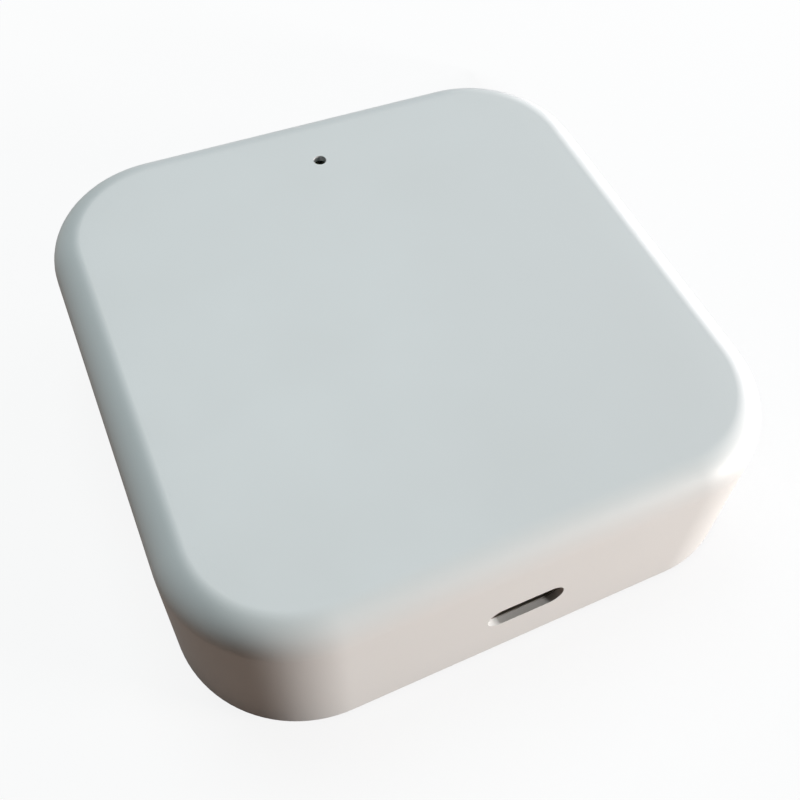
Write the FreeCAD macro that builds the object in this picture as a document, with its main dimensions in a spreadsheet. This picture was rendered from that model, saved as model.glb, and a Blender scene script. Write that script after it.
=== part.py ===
import FreeCAD
import Part
import Sketcher
import math
import os
from FreeCAD import Vector

# Driving dimensions, in millimetres and degrees. Heights named as centres or levels are above the
# shell's rim, and the origin is on the table under the middle of the four feet.
SIZES = {
    # Housing outline, measured at the rim
    "housing_width": 70,
    "housing_depth": 70,
    "corner_radius": 14.9,
    "shell_height": 20.5,
    "draft_angle": 2,
    "top_round": 3.75,
    "wall": 2,
    "roof": 2,
    "foot_projection": 0.5,
    # Rebate in the rim and the cover that closes it
    "rim_lip": 1,
    "cover_thickness": 2,
    "cover_clearance": 0.15,
    "cover_edge_break": 0.3,
    "locator_height": 1.6,
    "locator_thickness": 1.2,
    "locator_clearance": 0.2,
    "locator_run": 3,
    # Snap hooks of the cover and their catches in the shell
    "hook_offset": 12,
    "hook_width": 6,
    "hook_thickness": 1.2,
    "hook_root": 0.5,
    "hook_gap": 0.25,
    "hook_land": 0.4,
    "hook_tip_height": 1.4,
    "catch_level": 9,
    "catch_skin": 1.1,
    "catch_clearance": 0.2,
    "catch_headroom": 0.4,
    # Rubber feet
    "foot_diameter": 8,
    "foot_recess": 1,
    "foot_clearance": 0.1,
    "foot_inset": 13,
    "foot_chamfer": 0.4,
    # Circuit board
    "board_thickness": 1.6,
    "board_clearance": 0.5,
    "board_notch_room": 1,
    # Screw bosses under the roof and their screws
    "boss_inset": 11,
    "boss_diameter": 5.5,
    "boss_draft": 0.75,
    "pilot_diameter": 1.7,
    "pilot_depth": 6,
    "gusset_thickness": 1,
    "gusset_reach": 2,
    "gusset_drop": 5,
    "screw_hole": 2.4,
    "screw_length": 6,
    "screw_tip": 1,
    "screw_head_diameter": 3.8,
    "screw_head_height": 1.3,
    "screw_head_edge": 0.4,
    "drive_width": 2,
    "drive_slot": 0.5,
    "drive_depth": 0.8,
    # Status light: hole in the roof, pipe in its tube, lamp on the board
    "light_inset": 10,
    "light_hole": 1.6,
    "light_skin": 0.8,
    "pipe_diameter": 3,
    "pipe_clearance": 0.05,
    "pipe_end_gap": 0.1,
    "pipe_collar_diameter": 4.6,
    "pipe_collar_height": 1,
    "tube_wall": 1.2,
    "lamp_gap": 0.3,
    "lamp_length": 3.5,
    "lamp_width": 2.8,
    "lamp_height": 1.9,
    "lamp_cup_diameter": 2.4,
    "lamp_cup_depth": 1,
    # Power socket and the slot that it looks out of
    "port_level": 8.3,
    "port_recess": 0.7,
    "port_clearance": 0.13,
    "socket_width": 8.94,
    "socket_height": 3.26,
    "socket_depth": 7.35,
    "socket_sheet": 0.3,
    "socket_block_depth": 2.2,
    "socket_leg_width": 1.1,
    "socket_leg_pitch": 3.2,
    "socket_leg_setback": 1.1,
    "socket_leg_drop": 0.5,
    "socket_leg_clearance": 0.15,
    "tongue_width": 6.69,
    "tongue_thickness": 0.7,
    "tongue_setback": 0.8,
    "contact_count": 12,
    "contact_pitch": 0.5,
    "contact_width": 0.25,
    "contact_thickness": 0.08,
    "contact_length": 3.2,
    "rest_width": 6,
    "rest_thickness": 1.2,
    # Wireless network module, antenna towards the left wall
    "wifi_length": 24,
    "wifi_width": 16,
    "wifi_edge_gap": 0.75,
    "module_thickness": 0.8,
    "pad_diameter": 0.9,
    "pad_pitch": 2,
    "wifi_pad_count": 8,
    "pad_start": 2,
    "shield_length": 14.6,
    "shield_width": 12,
    "shield_height": 2.2,
    "shield_sheet": 0.2,
    "shield_round": 0.5,
    "shield_inset": 1,
    "wifi_chip_side": 5,
    "wifi_chip_height": 0.85,
    "memory_length": 5.2,
    "memory_width": 4,
    "memory_height": 1.6,
    "crystal_length": 3.2,
    "crystal_width": 2.5,
    "crystal_height": 0.7,
    "part_gap": 1,
    "trace_width": 0.5,
    "trace_thickness": 0.07,
    "wifi_antenna_fingers": 7,
    "wifi_antenna_pitch": 1.6,
    "wifi_antenna_finger": 4.5,
    "antenna_edge_gap": 0.8,
    # Short-range lock radio module, antenna towards the right wall
    "radio_length": 16,
    "radio_width": 12,
    "radio_edge_gap": 0.75,
    "radio_pad_count": 5,
    "radio_chip_side": 6,
    "radio_chip_height": 0.9,
    "radio_antenna_fingers": 5,
    "radio_antenna_pitch": 1.6,
    "radio_antenna_finger": 3,
    # Supply parts behind the socket, and the slope of moulded chip bodies
    "body_draft": 5,
    "supply_row": 5.5,
    "regulator_offset": 14,
    "regulator_length": 6.5,
    "regulator_width": 3.5,
    "regulator_height": 1.6,
    "regulator_tab": 3,
    "lead_width": 0.7,
    "lead_pitch": 2.3,
    "lead_thickness": 0.26,
    "lead_level": 0.8,
    "lead_run": 0.4,
    "lead_foot": 0.9,
    "reservoir_offset": 14,
    "reservoir_diameter": 6.3,
    "reservoir_height": 7,
    "reservoir_edge": 0.6,
    "reservoir_groove": 0.35,
    "reservoir_groove_level": 1.6,
    "reservoir_base_side": 6.6,
    "reservoir_base_height": 0.9,
    "reservoir_base_corner": 1.3,
    "fuse_offset": 5,
    "fuse_length": 4.5,
    "fuse_width": 3.2,
    "fuse_height": 1,
    "surge_offset": 5.2,
    "surge_length": 4.3,
    "surge_width": 2.6,
    "surge_height": 2.1,
    "surge_lead_width": 1.4,
    # Small surface parts in rows
    "chip_length": 1.6,
    "chip_width": 0.8,
    "resistor_height": 0.45,
    "capacitor_height": 0.8,
    "chip_count": 5,
    "chip_pitch": 2.2,
}

doc = FreeCAD.newDocument("Gateway")
sheet = doc.addObject("Spreadsheet::Sheet", "Sizes")
for row, (alias, number) in enumerate(SIZES.items(), start=1):
    sheet.set(f"A{row}", alias)
    sheet.set(f"B{row}", str(number))
    sheet.setAlias(f"B{row}", alias)
doc.recompute()

bodies = []

# How near two heights count as the same, and the least volume that a feature has to change
SAME_LEVEL = 1e-4
LEAST_VOLUME = 1e-6


def value(expression):
    """Return the present number of an expression of sheet cells."""
    return float(sheet.evalExpression(expression))


# Places that several pieces share, as expressions of the cells


def outer_half(span, level):
    """Half the shell's outside at a level above the rim, where the walls lean in by the draft."""
    return f"({span} / 2 - ({level}) * tan(Sizes.draft_angle))"


def inner_half(span, level):
    """Half the shell's inside at a level above the rim."""
    return f"({outer_half(span, level)} - Sizes.wall / cos(Sizes.draft_angle))"


WIDTH = "Sizes.housing_width"
DEPTH = "Sizes.housing_depth"
BOARD_TOP = "(Sizes.port_level - Sizes.socket_height / 2)"
BOARD_BOTTOM = f"({BOARD_TOP} - Sizes.board_thickness)"
BOARD_HALF_WIDTH = f"({inner_half(WIDTH, BOARD_TOP)} - Sizes.board_clearance)"
BOARD_HALF_DEPTH = f"({inner_half(DEPTH, BOARD_TOP)} - Sizes.board_clearance)"
ROOF_UNDERSIDE = "(Sizes.shell_height - Sizes.roof)"
BOSS_X = f"({WIDTH} / 2 - Sizes.boss_inset)"
BOSS_Y = f"({DEPTH} / 2 - Sizes.boss_inset)"
LIGHT_Y = f"({DEPTH} / 2 - Sizes.light_inset)"
PIPE_BOTTOM = f"({BOARD_TOP} + Sizes.lamp_height + Sizes.lamp_gap)"
TUBE_END = f"({PIPE_BOTTOM} + Sizes.pipe_collar_height)"
SOCKET_MOUTH = f"({outer_half(DEPTH, 'Sizes.port_level')} - Sizes.port_recess)"
SOCKET_REAR = f"({SOCKET_MOUTH} - Sizes.socket_depth)"
SUPPLY_Y = f"(-{SOCKET_REAR} + Sizes.supply_row)"
MODULE_TOP = f"({BOARD_TOP} + Sizes.module_thickness)"
WIFI_X = f"(-{BOARD_HALF_WIDTH} + Sizes.wifi_edge_gap + Sizes.wifi_length / 2)"
SHIELD_X = f"({WIFI_X} + Sizes.wifi_length / 2 - Sizes.shield_inset - Sizes.shield_length / 2)"
RADIO_X = f"({BOARD_HALF_WIDTH} - Sizes.radio_edge_gap - Sizes.radio_length / 2)"


def new_body(label, x="0", y="0", level="0"):
    """Start a sub-part whose own origin is at x, y and a level above the rim."""
    body = doc.addObject("PartDesign::Body", label)
    body.Label = label
    body.setExpression("Placement.Base.x", x)
    body.setExpression("Placement.Base.y", y)
    body.setExpression("Placement.Base.z", f"Sizes.foot_projection + {level}")
    bodies.append(body)
    return body


def datum(body, role):
    """Find one of the body's own origin planes or axes."""
    return next(item for item in body.Origin.OriginFeatures if item.Role == role)


def new_sketch(body, name, role="XY_Plane", offset="0"):
    """Start a sketch on an origin plane of the body, moved along the plane's normal."""
    sketch = body.newObject("Sketcher::SketchObject", f"{body.Label}_{name}")
    sketch.AttachmentSupport = [(datum(body, role), "")]
    sketch.MapMode = "FlatFace"
    sketch.setExpression("AttachmentOffset.Base.z", offset)
    return sketch


def dimension(sketch, expression, kind, *place):
    """Add a dimension that follows the sheet."""
    number = sketch.addConstraint(Sketcher.Constraint(kind, *place, value(expression)))
    sketch.setExpression(f"Constraints[{number}]", expression)


def fix_point(sketch, curve, end, across, up):
    """Fix a point of a curve by its two distances from the sketch's origin."""
    dimension(sketch, across, "DistanceX", -1, 1, curve, end)
    dimension(sketch, up, "DistanceY", -1, 1, curve, end)


def circle(sketch, diameter, across="0", up="0"):
    """Draw a circle."""
    middle = Vector(value(across), value(up), 0)
    curve = sketch.addGeometry(Part.Circle(middle, Vector(0, 0, 1), value(diameter) / 2), False)
    dimension(sketch, diameter, "Diameter", curve)
    fix_point(sketch, curve, 3, across, up)


def polygon(sketch, corners):
    """Draw a closed outline of straight sides through corners given as pairs of expressions."""
    points = [Vector(value(across), value(up), 0) for across, up in corners]
    first = sketch.GeometryCount
    for start, end in zip(points, points[1:] + points[:1]):
        sketch.addGeometry(Part.LineSegment(start, end), False)
    for index, (across, up) in enumerate(corners):
        following = first + (index + 1) % len(corners)
        sketch.addConstraint(Sketcher.Constraint("Coincident", first + index, 2, following, 1))
        fix_point(sketch, first + index, 1, across, up)


def rectangle(sketch, left, right, low, high):
    """Draw an upright rectangle between four sides."""
    polygon(sketch, [(left, low), (right, low), (right, high), (left, high)])


def centred_rectangle(sketch, width, height, across="0", up="0"):
    """Draw an upright rectangle about its middle."""
    rectangle(
        sketch,
        f"{across} - ({width}) / 2",
        f"{across} + ({width}) / 2",
        f"{up} - ({height}) / 2",
        f"{up} + ({height}) / 2",
    )


def rounded_rectangle(sketch, half_width, half_height, radius, up="0"):
    """Draw a rectangle with round corners, centred across the sketch at a height."""
    wide, high, round_off, middle = (value(size) for size in (half_width, half_height, radius, up))
    across, along = wide - round_off, high - round_off
    first = sketch.GeometryCount
    for turn, (side_x, side_y) in enumerate([(1, -1), (1, 1), (-1, 1), (-1, -1)]):
        start = math.radians(90 * turn - 90)
        corner = Vector(side_x * across, middle + side_y * along, 0)
        arc = Part.ArcOfCircle(Part.Circle(corner, Vector(0, 0, 1), round_off), start, start + math.pi / 2)
        sketch.addGeometry(arc, False)
    for turn in range(4):
        side = Part.LineSegment(
            sketch.Geometry[first + turn].EndPoint, sketch.Geometry[first + (turn + 1) % 4].StartPoint
        )
        line = sketch.addGeometry(side, False)
        sketch.addConstraint(Sketcher.Constraint("Tangent", first + turn, 2, line, 1))
        sketch.addConstraint(Sketcher.Constraint("Tangent", line, 2, first + (turn + 1) % 4, 1))
        sketch.addConstraint(Sketcher.Constraint("Horizontal" if turn % 2 else "Vertical", line))
    for turn in range(1, 4):
        sketch.addConstraint(Sketcher.Constraint("Equal", first, first + turn))
    dimension(sketch, radius, "Radius", first)
    fix_point(sketch, first, 3, f"({half_width}) - ({radius})", f"({up}) - ({half_height}) + ({radius})")
    fix_point(sketch, first + 2, 3, f"({radius}) - ({half_width})", f"({up}) + ({half_height}) - ({radius})")


def stadium(sketch, width, height, across="0", up="0"):
    """Draw a slot with half-round ends."""
    middle, level, long_side, short_side = (value(size) for size in (across, up, width, height))
    reach, radius = (long_side - short_side) / 2, short_side / 2
    first = sketch.GeometryCount
    for side, start in ((1, -math.pi / 2), (-1, math.pi / 2)):
        end_circle = Part.Circle(Vector(middle + side * reach, level, 0), Vector(0, 0, 1), radius)
        sketch.addGeometry(Part.ArcOfCircle(end_circle, start, start + math.pi), False)
    for side in (0, 1):
        flat = Part.LineSegment(
            sketch.Geometry[first + side].EndPoint, sketch.Geometry[first + 1 - side].StartPoint
        )
        line = sketch.addGeometry(flat, False)
        sketch.addConstraint(Sketcher.Constraint("Tangent", first + side, 2, line, 1))
        sketch.addConstraint(Sketcher.Constraint("Tangent", line, 2, first + 1 - side, 1))
    dimension(sketch, f"({height}) / 2", "Radius", first)
    fix_point(sketch, first, 3, f"{across} + (({width}) - ({height})) / 2", up)
    fix_point(sketch, first + 1, 3, f"{across} - (({width}) - ({height})) / 2", up)


def extrude(kind, sketch, name, length, backwards=False, centred=False, taper="0"):
    """Pad or pocket a sketch, checking that it adds or removes material."""
    body = sketch.getParentGeoFeatureGroup()
    before = body.Tip.Shape.Volume if body.Tip else 0
    feature = body.newObject(f"PartDesign::{kind}", f"{body.Label}_{name}")
    feature.Profile = sketch
    feature.setExpression("Length", length)
    feature.setExpression("TaperAngle", taper)
    feature.Reversed = backwards
    feature.Midplane = centred
    doc.recompute()
    grown = feature.Shape.Volume - before
    if (kind == "Pad") != (grown > 0) or abs(grown) < LEAST_VOLUME:
        raise RuntimeError(f"{feature.Name} changes nothing")
    return feature


def pad(sketch, name, length, **options):
    """Add material from a sketch along its normal."""
    return extrude("Pad", sketch, name, length, **options)


def pocket(sketch, name, length, **options):
    """Cut a sketch away against its normal."""
    return extrude("Pocket", sketch, name, length, **options)


def repeat(body, name, originals, *steps):
    """Repeat features by the given mirrors and rows."""
    before = body.Tip.Shape.Volume
    pattern = body.newObject("PartDesign::MultiTransform", f"{body.Label}_{name}")
    pattern.Originals = originals
    moves = []
    for number, (kind, datum_role, spacing, count) in enumerate(steps):
        move = body.newObject(f"PartDesign::{kind}", f"{body.Label}_{name}_{number}")
        if kind == "Mirrored":
            move.MirrorPlane = (datum(body, datum_role), [""])
        else:
            move.Direction = (datum(body, datum_role), [""])
            move.Mode = "Spacing"
            move.setExpression("Offset", spacing)
            move.setExpression("Occurrences", count)
        moves.append(move)
    pattern.Transformations = moves
    body.Tip = pattern
    doc.recompute()
    if abs(pattern.Shape.Volume - before) < LEAST_VOLUME:
        raise RuntimeError(f"{pattern.Name} changes nothing")
    return pattern


def mirror(plane):
    """Describe a mirror step of a pattern."""
    return ("Mirrored", plane, "", "")


def row_along(axis, spacing, count):
    """Describe a row step of a pattern."""
    return ("LinearPattern", axis, spacing, count)


LEFT_RIGHT = mirror("YZ_Plane")
FRONT_BACK = mirror("XZ_Plane")


def dress(kind, body, name, amount, chosen):
    """Fillet or chamfer the edges of the body's last shape that the test picks."""
    base = body.Tip
    names = [f"Edge{number}" for number, edge in enumerate(base.Shape.Edges, start=1) if chosen(edge)]
    feature = body.newObject(f"PartDesign::{kind}", f"{body.Label}_{name}")
    feature.Base = (base, names)
    feature.setExpression("Radius" if kind == "Fillet" else "Size", amount)
    doc.recompute()
    return feature


def edge_at(level):
    """Make a test for edges that lie flat at a local height."""
    height = value(level)

    def lies_there(edge):
        box = edge.BoundBox
        return max(abs(box.ZMin - height), abs(box.ZMax - height)) < SAME_LEVEL

    return lies_there


def gusset(body, name, role, across, offset):
    """Add a web that widens from a boss's side to the roof, in one upright plane."""
    foot = f"({ROOF_UNDERSIDE} - Sizes.gusset_drop)"
    top = "(Sizes.shell_height - Sizes.roof / 2)"
    narrow = "(Sizes.boss_diameter / 2)"
    broad = f"({narrow} + Sizes.gusset_reach)"
    web = new_sketch(body, f"{name}_outline", role, offset)
    corners = [
        (f"{across} - {narrow}", foot),
        (f"{across} + {narrow}", foot),
        (f"{across} + {broad}", ROOF_UNDERSIDE),
        (f"{across} + {broad}", top),
        (f"{across} - {broad}", top),
        (f"{across} - {broad}", ROOF_UNDERSIDE),
    ]
    polygon(web, corners)
    return pad(web, name, "Sizes.gusset_thickness", centred=True)


def shell_outside(body):
    """Raise the drafted block and round its top edge."""
    outline = new_sketch(body, "rim_outline")
    rounded_rectangle(outline, f"{WIDTH} / 2", f"{DEPTH} / 2", "Sizes.corner_radius")
    pad(outline, "block", "Sizes.shell_height", taper="-Sizes.draft_angle")
    dress("Fillet", body, "top_round", "Sizes.top_round", edge_at("Sizes.shell_height"))


def shell_inside(body):
    """Hollow the block to even walls and cut the rebate that the cover sits in."""
    skin = "(Sizes.wall / cos(Sizes.draft_angle))"
    radius = f"Sizes.corner_radius - {skin}"
    cavity = new_sketch(body, "cavity_outline")
    rounded_rectangle(cavity, f"{WIDTH} / 2 - {skin}", f"{DEPTH} / 2 - {skin}", radius)
    pocket(cavity, "cavity", ROOF_UNDERSIDE, backwards=True, taper="-Sizes.draft_angle")
    dress("Fillet", body, "cavity_round", "max(Sizes.top_round - Sizes.wall; 0.3)", edge_at(ROOF_UNDERSIDE))
    rebate = new_sketch(body, "rebate_outline")
    rounded_rectangle(
        rebate,
        f"{WIDTH} / 2 - Sizes.rim_lip",
        f"{DEPTH} / 2 - Sizes.rim_lip",
        "Sizes.corner_radius - Sizes.rim_lip",
    )
    pocket(rebate, "rebate", "Sizes.cover_thickness", backwards=True)


def shell_bosses(body):
    """Hang four webbed screw bosses from the roof down to the board."""
    foot = new_sketch(body, "boss_circle", offset=BOARD_TOP)
    circle(foot, "Sizes.boss_diameter", BOSS_X, BOSS_Y)
    length = f"Sizes.shell_height - Sizes.roof / 2 - {BOARD_TOP}"
    boss = pad(foot, "boss", length, taper="Sizes.boss_draft")
    web_across = gusset(body, "web_across", "XZ_Plane", BOSS_X, f"-{BOSS_Y}")
    web_along = gusset(body, "web_along", "YZ_Plane", BOSS_Y, BOSS_X)
    hole = new_sketch(body, "pilot_circle", offset=BOARD_TOP)
    circle(hole, "Sizes.pilot_diameter", BOSS_X, BOSS_Y)
    pilot = pocket(hole, "pilot", "Sizes.pilot_depth", backwards=True)
    repeat(body, "four_bosses", [boss, web_across, web_along, pilot], LEFT_RIGHT, FRONT_BACK)


def shell_light_tube(body):
    """Add the tube that holds the light pipe, with its seat and the small hole in the roof."""
    tube = new_sketch(body, "tube_circle", offset=TUBE_END)
    bore = "Sizes.pipe_diameter + 2 * Sizes.pipe_clearance"
    circle(tube, f"{bore} + 2 * Sizes.tube_wall", up=LIGHT_Y)
    pad(tube, "tube", f"Sizes.shell_height - Sizes.roof / 2 - {TUBE_END}")
    gusset(body, "tube_web", "XZ_Plane", "0", f"-{LIGHT_Y}")
    seat = new_sketch(body, "seat_circle", offset=TUBE_END)
    circle(seat, bore, up=LIGHT_Y)
    pocket(seat, "seat", f"Sizes.shell_height - Sizes.light_skin - {TUBE_END}", backwards=True)
    hole = new_sketch(body, "light_circle", offset=ROOF_UNDERSIDE)
    circle(hole, "Sizes.light_hole", up=LIGHT_Y)
    pocket(hole, "light_hole", "Sizes.roof + 1", backwards=True)


def shell_port(body):
    """Cut the slot for the power socket through the front wall."""
    slot = new_sketch(body, "port_outline", "XZ_Plane")
    around = "2 * Sizes.port_clearance"
    stadium(slot, f"Sizes.socket_width + {around}", f"Sizes.socket_height + {around}", up="Sizes.port_level")
    pocket(slot, "port", f"{DEPTH} / 2 + 1", backwards=True)


def shell_catches(body):
    """Cut the blind recesses that the cover's hooks snap into, two in each wall."""
    height = "Sizes.hook_tip_height + Sizes.catch_headroom"
    near = "Sizes.hook_offset - Sizes.hook_width / 2 - Sizes.catch_clearance"
    far = "Sizes.hook_offset + Sizes.hook_width / 2 + Sizes.catch_clearance"
    side = new_sketch(body, "side_catch_outline", offset="Sizes.catch_level")
    reach = f"{outer_half(WIDTH, 'Sizes.catch_level')} - Sizes.catch_skin"
    rectangle(side, f"{reach} - Sizes.wall", reach, near, far)
    catch = pocket(side, "side_catch", height, backwards=True)
    repeat(body, "side_catches", [catch], LEFT_RIGHT, FRONT_BACK)
    end = new_sketch(body, "end_catch_outline", offset="Sizes.catch_level")
    reach = f"{outer_half(DEPTH, 'Sizes.catch_level')} - Sizes.catch_skin"
    rectangle(end, near, far, f"{reach} - Sizes.wall", reach)
    catch = pocket(end, "end_catch", height, backwards=True)
    repeat(body, "end_catches", [catch], LEFT_RIGHT, FRONT_BACK)


def top_shell():
    """The deep moulded shell: roof and four walls in one piece."""
    body = new_body("top_shell")
    shell_outside(body)
    shell_inside(body)
    shell_bosses(body)
    shell_light_tube(body)
    shell_port(body)
    shell_catches(body)


def hook_inner(span):
    """Distance of a hook's inner face from the middle of the cover."""
    return f"({inner_half(span, 'Sizes.catch_level')} - Sizes.hook_gap - Sizes.hook_thickness)"


def cover_hook(body, name, role, span, offset):
    """Raise one snap hook: a springy stem, a flat catch face and a sloping nose."""
    inner = hook_inner(span)
    outer = f"({inner} + Sizes.hook_thickness)"
    tip = f"({outer_half(span, 'Sizes.catch_level')} - Sizes.catch_skin - Sizes.catch_clearance)"
    top = "Sizes.catch_level + Sizes.hook_tip_height"
    outline = new_sketch(body, f"{name}_outline", role, offset)
    corners = [
        (f"{inner} - Sizes.hook_root", "Sizes.cover_thickness / 2"),
        (outer, "Sizes.cover_thickness / 2"),
        (outer, "Sizes.catch_level"),
        (tip, "Sizes.catch_level"),
        (tip, "Sizes.catch_level + Sizes.hook_land"),
        (f"{outer} - Sizes.hook_thickness / 3", top),
        (inner, top),
        (inner, "Sizes.cover_thickness + Sizes.hook_root"),
        (f"{inner} - Sizes.hook_root", "Sizes.cover_thickness"),
    ]
    polygon(outline, corners)
    hook = pad(outline, name, "Sizes.hook_width", centred=True)
    return repeat(body, f"{name}_four", [hook], LEFT_RIGHT, FRONT_BACK)


def cover_locators(body):
    """Raise the four corner ribs that centre the cover in the shell."""
    top = "Sizes.cover_thickness + Sizes.locator_height"
    half_width = f"({inner_half(WIDTH, top)} - Sizes.locator_clearance)"
    half_depth = f"({inner_half(DEPTH, top)} - Sizes.locator_clearance)"
    radius = f"(Sizes.corner_radius - {WIDTH} / 2 + {half_width})"
    rib = new_sketch(body, "locator_outline", offset="Sizes.cover_thickness")
    for step in ("0", "Sizes.locator_thickness"):
        rounded_rectangle(rib, f"{half_width} - {step}", f"{half_depth} - {step}", f"{radius} - {step}")
    pad(rib, "locator_ring", "Sizes.locator_height")
    straight = "2 * Sizes.corner_radius + 2 * Sizes.locator_run"
    gap_across = new_sketch(body, "gap_across_outline", offset="Sizes.cover_thickness")
    centred_rectangle(gap_across, WIDTH, f"{DEPTH} - ({straight})")
    pocket(gap_across, "gap_across", "Sizes.locator_height", backwards=True)
    gap_along = new_sketch(body, "gap_along_outline", offset="Sizes.cover_thickness")
    centred_rectangle(gap_along, f"{WIDTH} - ({straight})", DEPTH)
    pocket(gap_along, "gap_along", "Sizes.locator_height", backwards=True)


def base_cover():
    """The snap-in bottom cover with its hooks, locating ribs and foot recesses."""
    body = new_body("base_cover")
    inset = "(Sizes.rim_lip + Sizes.cover_clearance)"
    radius = f"Sizes.corner_radius - {inset}"
    plate = new_sketch(body, "plate_outline")
    rounded_rectangle(plate, f"{WIDTH} / 2 - {inset}", f"{DEPTH} / 2 - {inset}", radius)
    pad(plate, "plate", "Sizes.cover_thickness")
    dress("Chamfer", body, "edge_break", "Sizes.cover_edge_break", edge_at("0"))
    cover_locators(body)
    cover_hook(body, "side_hook", "XZ_Plane", WIDTH, "-Sizes.hook_offset")
    cover_hook(body, "end_hook", "YZ_Plane", DEPTH, "Sizes.hook_offset")
    rests = new_sketch(body, "port_rest_outline", offset="Sizes.cover_thickness / 2")
    rest_y = f"-{SOCKET_REAR} - Sizes.socket_leg_setback"
    for step in ("0", "Sizes.socket_leg_pitch"):
        centred_rectangle(rests, "Sizes.rest_width", "Sizes.rest_thickness", up=f"{rest_y} - {step}")
    pad(rests, "port_rests", f"{BOARD_BOTTOM} - Sizes.cover_thickness / 2")
    recess = new_sketch(body, "foot_recess_outline")
    foot_x, foot_y = f"{WIDTH} / 2 - Sizes.foot_inset", f"{DEPTH} / 2 - Sizes.foot_inset"
    circle(recess, "Sizes.foot_diameter + 2 * Sizes.foot_clearance", foot_x, foot_y)
    hollow = pocket(recess, "foot_recess", "Sizes.foot_recess", backwards=True)
    repeat(body, "foot_recesses", [hollow], LEFT_RIGHT, FRONT_BACK)


CORNERS = {"front_left": ("-", "-"), "front_right": ("", "-"), "rear_left": ("-", ""), "rear_right": ("", "")}


def feet():
    """Four rubber feet stuck in the cover's recesses."""
    for corner, (side_x, side_y) in CORNERS.items():
        x = f"{side_x}({WIDTH} / 2 - Sizes.foot_inset)"
        y = f"{side_y}({DEPTH} / 2 - Sizes.foot_inset)"
        body = new_body(f"foot_{corner}", x, y, "-Sizes.foot_projection")
        disc = new_sketch(body, "disc_circle")
        circle(disc, "Sizes.foot_diameter")
        pad(disc, "disc", "Sizes.foot_recess + Sizes.foot_projection")
        dress("Chamfer", body, "chamfer", "Sizes.foot_chamfer", edge_at("0"))


def board_screws():
    """Four self-tapping screws that hold the board up against the bosses."""
    for corner, (side_x, side_y) in CORNERS.items():
        level = f"{BOARD_BOTTOM} - Sizes.screw_head_height"
        body = new_body(f"board_screw_{corner}", f"{side_x}{BOSS_X}", f"{side_y}{BOSS_Y}", level)
        profile = new_sketch(body, "profile", "XZ_Plane")
        rim, shank = "Sizes.screw_head_diameter / 2", "Sizes.pilot_diameter / 2"
        end = "Sizes.screw_head_height + Sizes.screw_length"
        outline = [
            ("0", "0"),
            (f"{rim} - Sizes.screw_head_edge", "0"),
            (rim, "Sizes.screw_head_edge"),
            (rim, "Sizes.screw_head_height"),
            (shank, "Sizes.screw_head_height"),
            (shank, f"{end} - Sizes.screw_tip"),
            ("0", end),
        ]
        polygon(profile, outline)
        turn = body.newObject("PartDesign::Revolution", f"{body.Label}_turn")
        turn.Profile = profile
        turn.ReferenceAxis = (datum(body, "Z_Axis"), [""])
        turn.Angle = 360
        doc.recompute()
        drive = new_sketch(body, "drive_outline")
        arm, half_slot = "Sizes.drive_width / 2", "Sizes.drive_slot / 2"
        quarter = [(arm, half_slot), (half_slot, half_slot), (half_slot, arm)]
        cross = quarter + [(f"-{across}", up) for across, up in reversed(quarter)]
        cross += [(f"-{across}", f"-{up}") for across, up in quarter]
        cross += [(across, f"-{up}") for across, up in reversed(quarter)]
        polygon(drive, cross)
        pocket(drive, "drive", "Sizes.drive_depth", backwards=True)


def circuit_board():
    """The main board, notched round the cover's hooks."""
    body = new_body("circuit_board", level=BOARD_BOTTOM)
    radius = f"(Sizes.corner_radius - {WIDTH} / 2 + {BOARD_HALF_WIDTH})"
    outline = new_sketch(body, "outline")
    rounded_rectangle(outline, BOARD_HALF_WIDTH, BOARD_HALF_DEPTH, radius)
    pad(outline, "plate", "Sizes.board_thickness")
    near = "Sizes.hook_offset - Sizes.hook_width / 2 - Sizes.board_clearance"
    far = "Sizes.hook_offset + Sizes.hook_width / 2 + Sizes.board_clearance"
    side = new_sketch(body, "side_notch_outline")
    rectangle(side, f"{hook_inner(WIDTH)} - Sizes.board_notch_room", f"{WIDTH} / 2", near, far)
    end = new_sketch(body, "end_notch_outline")
    rectangle(end, near, far, f"{hook_inner(DEPTH)} - Sizes.board_notch_room", f"{DEPTH} / 2")
    holes = new_sketch(body, "screw_hole_circle")
    circle(holes, "Sizes.screw_hole", BOSS_X, BOSS_Y)
    cuts = []
    for sketch, name in ((side, "side_notch"), (end, "end_notch"), (holes, "screw_hole")):
        cuts.append(pocket(sketch, name, "Sizes.board_thickness", backwards=True))
    repeat(body, "edge_cuts", cuts, LEFT_RIGHT, FRONT_BACK)
    legs = new_sketch(body, "leg_slot_outline")
    play = "2 * Sizes.socket_leg_clearance"
    leg_x = "(Sizes.socket_width / 2 - Sizes.socket_sheet / 2)"
    for step in ("0", "Sizes.socket_leg_pitch"):
        leg_y = f"-{SOCKET_REAR} - Sizes.socket_leg_setback - {step}"
        width, length = f"Sizes.socket_sheet + {play}", f"Sizes.socket_leg_width + {play}"
        centred_rectangle(legs, width, length, leg_x, leg_y)
    slots = pocket(legs, "leg_slots", "Sizes.board_thickness", backwards=True)
    repeat(body, "all_leg_slots", [slots], LEFT_RIGHT)


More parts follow.
